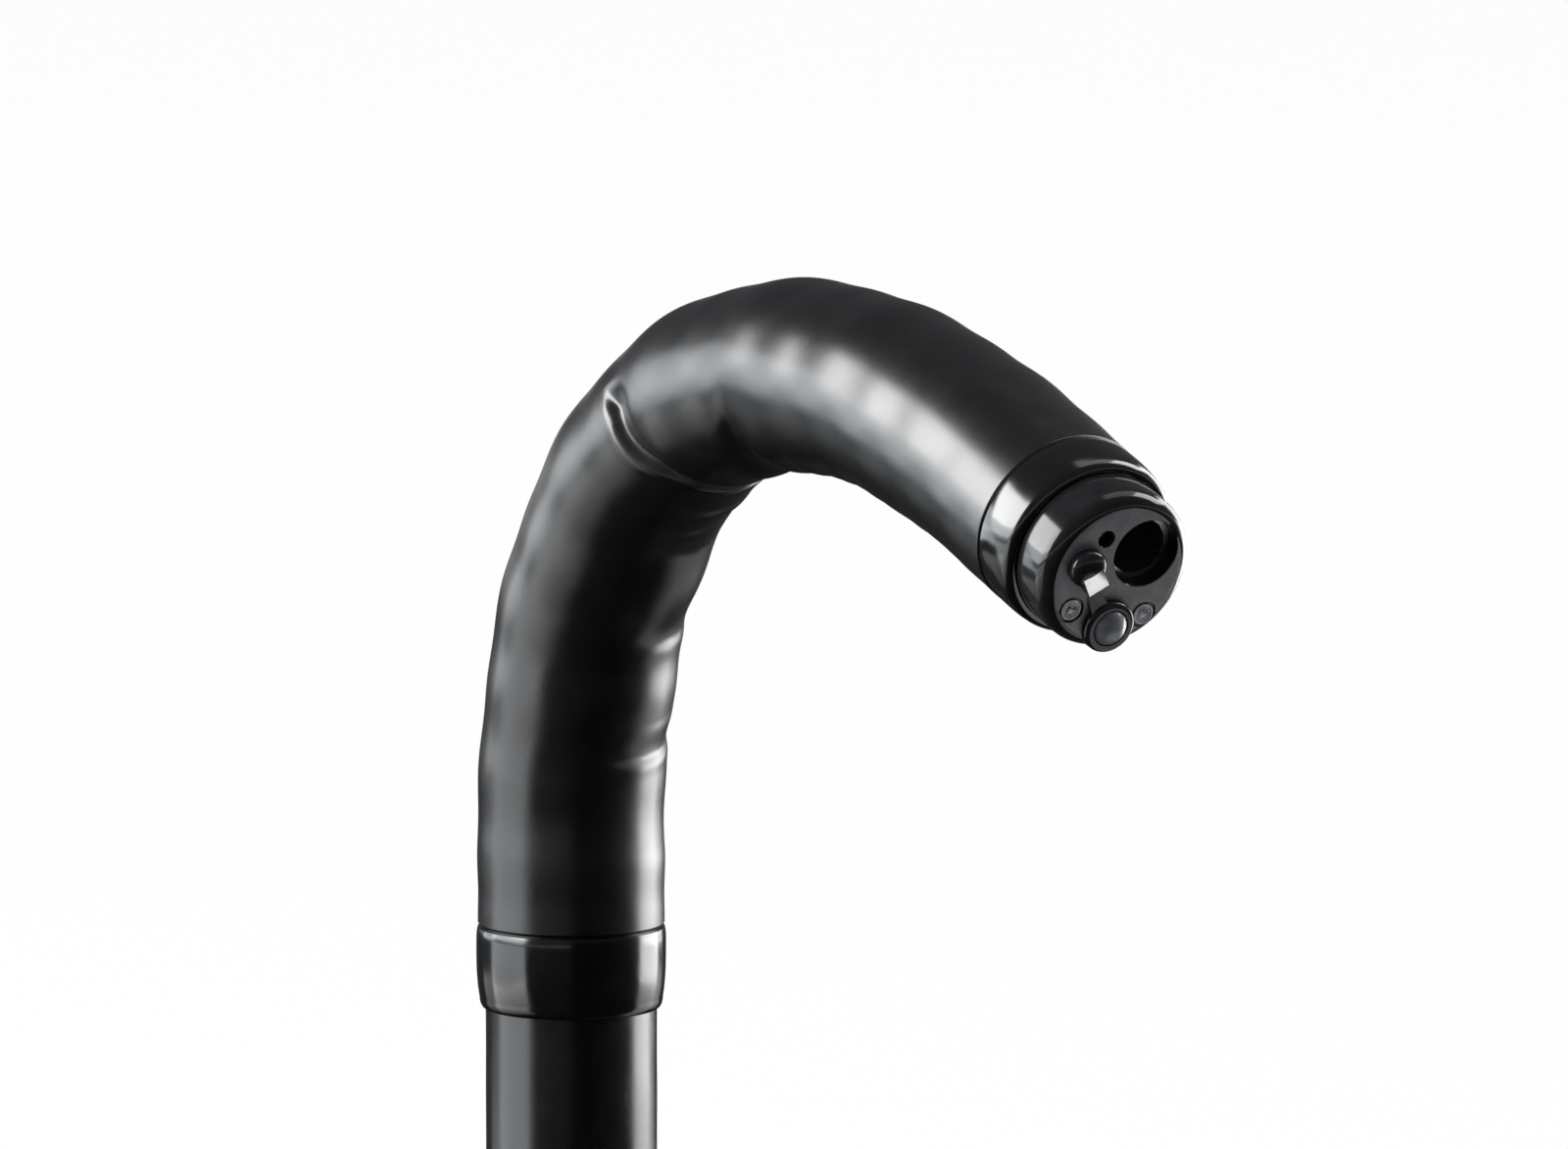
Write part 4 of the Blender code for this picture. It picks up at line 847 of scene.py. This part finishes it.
def hood_shape():
    """The cup of the hood with its rounded front edge and the raised seat of the front lens."""
    low, inside = FRONT - HOOD_LENGTH, FRONT - HOOD_PLATE
    bore, break_edge = HOOD_RADIUS - HOOD_WALL, 0.04
    profile = [(bore, low), (HOOD_RADIUS - break_edge, low)]
    profile += arc(break_edge, (HOOD_RADIUS - break_edge, low + break_edge), -60, 0, 3)
    profile += arc(HOOD_EDGE, (HOOD_RADIUS - HOOD_EDGE, FRONT - HOOD_EDGE), 0, 90, 12)
    profile += [(0.01, FRONT), (0.01, inside), (bore, inside)]
    cup = make_object("tip_hood_shell", *turned(profile, HOOD_SIDES),
                      ["hood_plastic", "face_plastic", "bore_black"], tip_frame())
    top = FRONT + BOSS_HEIGHT
    boss = [(0.01, inside + 0.2), (BOSS_RADIUS, inside + 0.2), (BOSS_RADIUS, FRONT - 0.1)]
    boss += arc(BOSS_EDGE, (BOSS_RADIUS - 0.26, top - BOSS_EDGE), 0, 90, 12) + [(0.01, top)]
    return combine(cup, [turned_tool(boss, 96, OBJECTIVE_AT), ramp_tool()], "UNION")


def ramp_tool():
    """The wedge that rises from the nozzle's outlet to the front lens's seat."""
    spots = ((0.72, -0.95), (1.05, -1.42), (2.45, -0.95), (1.75, -0.05))
    way = spray_way()
    low = [(x, y, FRONT - 0.2) for x, y in spots]
    high = [(x, y, FRONT + 0.03 + RAMP_SLOPE * (way.x * x + way.y * y - 0.15)) for x, y in spots]
    faces = [(0, 1, 2, 3), (7, 6, 5, 4)] + [(i, i + 4, (i + 1) % 4 + 4, (i + 1) % 4) for i in range(4)]
    return make_object("tool", low + high, faces, ["hood_plastic"], tip_frame())


def hood_look(centre, facing):
    """Number of the look of a face of the hood, from its centre in mm and how far it looks forward."""
    height = (centre - Vector(FACE["pos_m"]) / MM).dot(TIP_WAY)
    spot = (TO_TIP @ centre).to_2d()
    # Walls inside the channel's mouth take the painted shade of the bore.
    if (spot - Vector(CHANNEL_AT)).length < 1.69 and facing < 0.5 and height < 0:
        return 2
    # Flat faces looking forward, the ramp among them, take the face's grey plastic with its painted light;
    # all else is the hood's plastic.
    on_ramp = facing > 0.93 and height > 0 and (spot - Vector(OBJECTIVE_AT)).length > BOSS_RADIUS
    return 1 if on_ramp or (facing > 0.9 and abs(height) < 0.02) else 0


def make_hood():
    """Front cap of the tip with all its openings."""
    low, high = FRONT - 1.2, FRONT + 1.5
    top = FRONT + BOSS_HEIGHT
    seat = OBJECTIVE_RADIUS + 0.03
    mouth = [(1.58, low), (1.66, FRONT - 0.6), (1.68, FRONT - 0.04), (1.72, FRONT), (1.72, high)]
    jet = [(0.4, low), (0.4, FRONT - 0.05), (0.45, FRONT), (0.45, high)]
    lens = [(seat, low), (seat, top - 0.04), (seat + 0.04, top), (seat + 0.04, high)]
    nozzle = [(NOZZLE_SEAT, low), (NOZZLE_SEAT, high)]
    light = [(0.54, low), (0.54, FRONT - 0.12), (0.62, FRONT - 0.12), (0.66, FRONT), (0.66, high)]
    cutters = [
        turned_tool(mouth, 96, CHANNEL_AT),
        turned_tool(jet, 48, JET_AT),
        turned_tool(lens, 64, OBJECTIVE_AT),
        turned_tool(nozzle, 48, NOZZLE_AT),
    ]
    cutters += [turned_tool(light, 48, centre) for centre in LIGHTS_AT.values()]
    hood = combine(hood_shape(), cutters, "DIFFERENCE")
    for polygon in hood.data.polygons:
        polygon.material_index = hood_look(Vector(polygon.center) / MM, polygon.normal.dot(TIP_WAY))
    soften(hood, 13)
    settle(hood, ["tip_hood"], TIP)


def make_objective():
    """Domed front lens."""
    low, rim = FRONT - 0.65, FRONT + BOSS_HEIGHT - 0.02
    radius, rise = OBJECTIVE_RADIUS, OBJECTIVE_RISE
    ball = (radius * radius + rise * rise) / (2 * rise)
    start = math.degrees(math.asin((ball - rise) / ball))
    profile = [(radius, low)] + arc(ball, (0, rim + rise - ball), start, 89.5, 24)
    piece = make_object("objective_dome", *turned(profile, 64, False, OBJECTIVE_AT), ["lens_glass"],
                        tip_frame())
    shade(piece, 40)
    settle(piece, ["objective_front_lens"], TIP)


def make_lights():
    """Light guide lenses with a stepped rim."""
    front = FRONT - 0.02
    profile = [(0.52, FRONT - 0.98), (0.52, front), (0.5, front + 0.03), (0.43, front + 0.03),
               (0.4, front - 0.05), (0.36, front - 0.05), (0.34, front - 0.01), (0.29, front - 0.01),
               (0.27, front - 0.04), (0.24, front - 0.01), (0.12, front + 0.02), (0.005, front + 0.025)]
    for side, centre in LIGHTS_AT.items():
        piece = make_object(f"light_lens_{side}_disc", *turned(profile, 48, False, centre),
                            ["light_glass", "light_rim"], tip_frame())
        middle = tip_frame() @ Vector((*centre, FRONT))
        for polygon in piece.data.polygons:
            reach = (Vector(polygon.center) / MM - middle).length
            polygon.material_index = 1 if 0.41 < reach < 0.54 or 0.29 < reach < 0.34 else 0
        shade(piece)
        settle(piece, [f"light_lens_{side}"], TIP)


def spray_way():
    """Way from the nozzle to the front lens across the tip's face."""
    return (Vector(OBJECTIVE_AT) - Vector(NOZZLE_AT)).normalized()


def block_tool(centre, near, far, half, low, high):
    """A box along the spray's way in front of the tip, between two distances from a centre."""
    way = spray_way()
    across = Vector((-way.y, way.x))
    start = Vector(centre)
    spots = [start + way * along + across * side for along, side in
             ((near, half), (near, -half), (far, -half), (far, half))]
    corners = [(*spot, z) for z in (low, high) for spot in spots]
    faces = [(3, 2, 1, 0), (4, 5, 6, 7)] + [(i, (i + 1) % 4, (i + 1) % 4 + 4, i + 4) for i in range(4)]
    return make_object("tool", corners, faces, ["nozzle_black"], tip_frame())


def make_nozzle():
    """Air and water nozzle: a metal dome painted black as its shade, a flat bill over its slot whose top is
    painted bright steel as its highlight, and a stem in the hood.
    """
    low, side, top = FRONT + 0.02, FRONT + 0.3, FRONT + DOME_TOP
    flat = FRONT + BILL_HEIGHT
    dome = [(0.3, low), (DOME_RADIUS - 0.03, low), (DOME_RADIUS, low + 0.03)]
    for angle in np.radians(np.linspace(0, 89, 20)):
        dome.append((DOME_RADIUS * math.cos(angle), side + (top - side) * math.sin(angle)))
    shape = make_object("air_water_nozzle_head", *turned(dome, 96, False, DOME_AT),
                        ["nozzle_black", "nozzle_steel"], tip_frame())
    bill = block_tool(DOME_AT, 0.02, BILL_REACH + 0.2, 0.54, low + 0.015, flat + 0.05)
    stem = turned_tool([(STEM_RADIUS, FRONT - 1.4), (STEM_RADIUS, low + 0.12)], 60, NOZZLE_AT)
    above_bill = block_tool(DOME_AT, 0.12, 2.6, 0.56, flat, top + 1)
    before_bill = block_tool(DOME_AT, BILL_REACH, 2.4, 1.8, low - 0.01, top + 0.9)
    slot = block_tool(DOME_AT, 0.4, 2.2, 0.42, low + 0.16, flat - 0.12)
    for operation, cutter in (("UNION", bill), ("UNION", stem), ("DIFFERENCE", above_bill),
                              ("DIFFERENCE", before_bill), ("DIFFERENCE", slot)):
        shape = combine(shape, [cutter], operation)
    for polygon in shape.data.polygons:
        height = (Vector(polygon.center) / MM - Vector(FACE["pos_m"]) / MM).dot(TIP_WAY)
        # Only the bill's flat top gets the bright steel, a painted highlight; the rest of the nozzle keeps
        # the black painted shade.
        bill_painted_highlight = polygon.normal.dot(TIP_WAY) > 0.99 and abs(height - BILL_HEIGHT) < 0.01
        polygon.material_index = 1 if bill_painted_highlight else 0
    shade(shape, 35)
    settle(shape, ["air_water_nozzle"], TIP)


def finish_kept():
    """Gives the CAD nodes that stay the finish of their slot."""
    for node in frame["nodes"].values():
        if node.hide_render:
            continue
        for index, old in enumerate(node.data.materials):
            node.data.materials[index] = LOOKS[old.name.split(".")[0]]


def camera_axes():
    """Ways to the right, up and towards the camera."""
    azimuth, elevation = math.radians(CAMERA_AZIMUTH), math.radians(CAMERA_ELEVATION)
    level = math.cos(elevation)
    right = Vector((math.cos(azimuth), math.sin(azimuth), 0))
    toward = Vector((math.sin(azimuth) * level, -math.cos(azimuth) * level, math.sin(elevation)))
    return right, toward.cross(right), toward


def floor_axes():
    """Level ways to the right in the picture and towards the camera."""
    right, _, toward = camera_axes()
    return right, Vector((toward.x, toward.y, 0)).normalized()


def make_camera():
    """Long lens at the photograph's angle and scale."""
    right, up, toward = camera_axes()
    data = bpy.data.cameras.new("camera")
    data.sensor_width = SENSOR_WIDTH
    data.lens = SENSOR_WIDTH * PIXELS_PER_MM * CAMERA_DISTANCE / IMAGE_SIZE[0]
    data.clip_start, data.clip_end = 0.05, 50.0
    eye = bpy.data.objects.new("camera", data)
    spot = CAMERA_TARGET + toward * CAMERA_DISTANCE + right * CAMERA_SHIFTS[0] + up * CAMERA_SHIFTS[1]
    eye.matrix_world = Matrix.Translation(spot * MM) @ Matrix((right, up, toward)).transposed().to_4x4()
    bpy.context.scene.collection.objects.link(eye)
    bpy.context.scene.camera = eye


def softbox(name, seen_from, right_by, height, distance, size, glow, colour):
    """An area light seen from a place at an azimuth right of the camera and a height, both in degrees.

    Its distance and size are in metres, and lamps of one glow are equally bright, whatever their size.
    """
    right, front = floor_axes()
    azimuth, raised = math.radians(right_by), math.radians(height)
    way = (front * math.cos(azimuth) + right * math.sin(azimuth)) * math.cos(raised)
    way.z = math.sin(raised)
    data = bpy.data.lights.new(name, "AREA")
    data.shape = "RECTANGLE"
    data.size, data.size_y = size
    data.energy = glow * 4 * size[0] * size[1]
    data.color = colour
    lamp = bpy.data.objects.new(name, data)
    lamp.location = Vector(seen_from) + way * distance
    lamp.rotation_euler = way.to_track_quat("Z", "Y").to_euler()
    lamp.visible_camera = False
    bpy.context.scene.collection.objects.link(lamp)


def dark_card(name, opening, reach):
    """Black acrylic on the floor that only reflections show, open where the tip's face looks down.

    The opening is to the right of the scope and towards the camera, and reach is its radius.
    """
    right, front = floor_axes()
    middle = right * opening[0] + front * opening[1]
    turn = np.linspace(0, 2 * math.pi, 96, endpoint=False)
    inner = [(middle.x + reach * math.cos(a), middle.y + reach * math.sin(a), CARD_HEIGHT) for a in turn]
    outer = [(CARD_REACH * math.cos(a), CARD_REACH * math.sin(a), CARD_HEIGHT) for a in turn]
    card = make_object(name, inner + outer, grid_faces(2, len(turn), flip=True), ["card"])
    card.visible_camera = False
    card.visible_shadow = False


def flag(name, reach, low, high, height):
    """A black curved card stood round the scope, so that only the tip's face sees the open floor.

    It stands at a reach from the axis, between two angles in degrees right of the camera.
    """
    right, front = floor_axes()
    turn = np.radians(np.linspace(low, high, 24))
    ring = [(front * math.cos(a) + right * math.sin(a)) * reach for a in turn]
    corners = [(spot.x, spot.y, z) for z in (CARD_HEIGHT + 0.1, height) for spot in ring]
    count = len(ring)
    faces = [(k, k + 1, k + 1 + count, k + count) for k in range(count - 1)]
    card = make_object(name, corners, faces, ["card"])
    card.visible_camera = False
    card.visible_shadow = False


def make_stage():
    """Pale floor, soft lights and a dim surround."""
    corners = [(x * FLOOR_REACH, y * FLOOR_REACH, 0) for x, y in ((-1, -1), (1, -1), (1, 1), (-1, 1))]
    floor = make_object("floor", corners, [(0, 1, 2, 3)], ["floor"])
    dark_card("card", (58, 46), 27)
    flag("flag", 34.0, 0.0, 85.0, 31.0)
    tube, arm, tip = (0.0, 0.0, 0.03), (0.03, 0.0, 0.05), (0.048, 0.0, 0.033)
    softbox("key_right", tube, 110, 4, 0.088, (0.06, 0.1), 4.0, (1.0, 0.99, 0.98))
    softbox("key_left", arm, -86.5, 22.5, 0.6, (0.6, 0.31), 7.2, (1.0, 1.0, 1.0))
    softbox("key_left_low", arm, -86.5, 3.5, 0.6, (0.6, 0.12), 3.6, (0.93, 0.97, 1.0))
    softbox("rim_right", arm, 112, 34, 0.6, (0.3, 0.34), 5.0, (1.0, 1.0, 1.0))
    softbox("overhead", arm, 115, 66, 0.9, (0.6, 0.6), 0.8, (1.0, 1.0, 1.0))
    softbox("key_left_back", arm, -123, 1, 0.2, (0.085, 0.082), 2.0, (0.93, 0.97, 1.0))
    softbox("rim_tip", tip, 136, -3, 0.15, (0.13, 0.044), 2.5, (1.0, 1.0, 1.0))
    world = bpy.data.worlds.new("surround")
    world.use_nodes = True
    background = world.node_tree.nodes["Background"]
    background.inputs["Color"].default_value = (0.1, 0.103, 0.11, 1.0)
    background.inputs["Strength"].default_value = 1.0
    bpy.context.scene.world = world
    bpy.context.scene.view_settings.view_transform = "Standard"


make_cover()
make_braid()
make_lines()
make_wires()
make_bands()
make_jacket()
make_ferrule()
make_hood()
make_objective()
make_lights()
make_nozzle()
finish_kept()
make_camera()
make_stage()
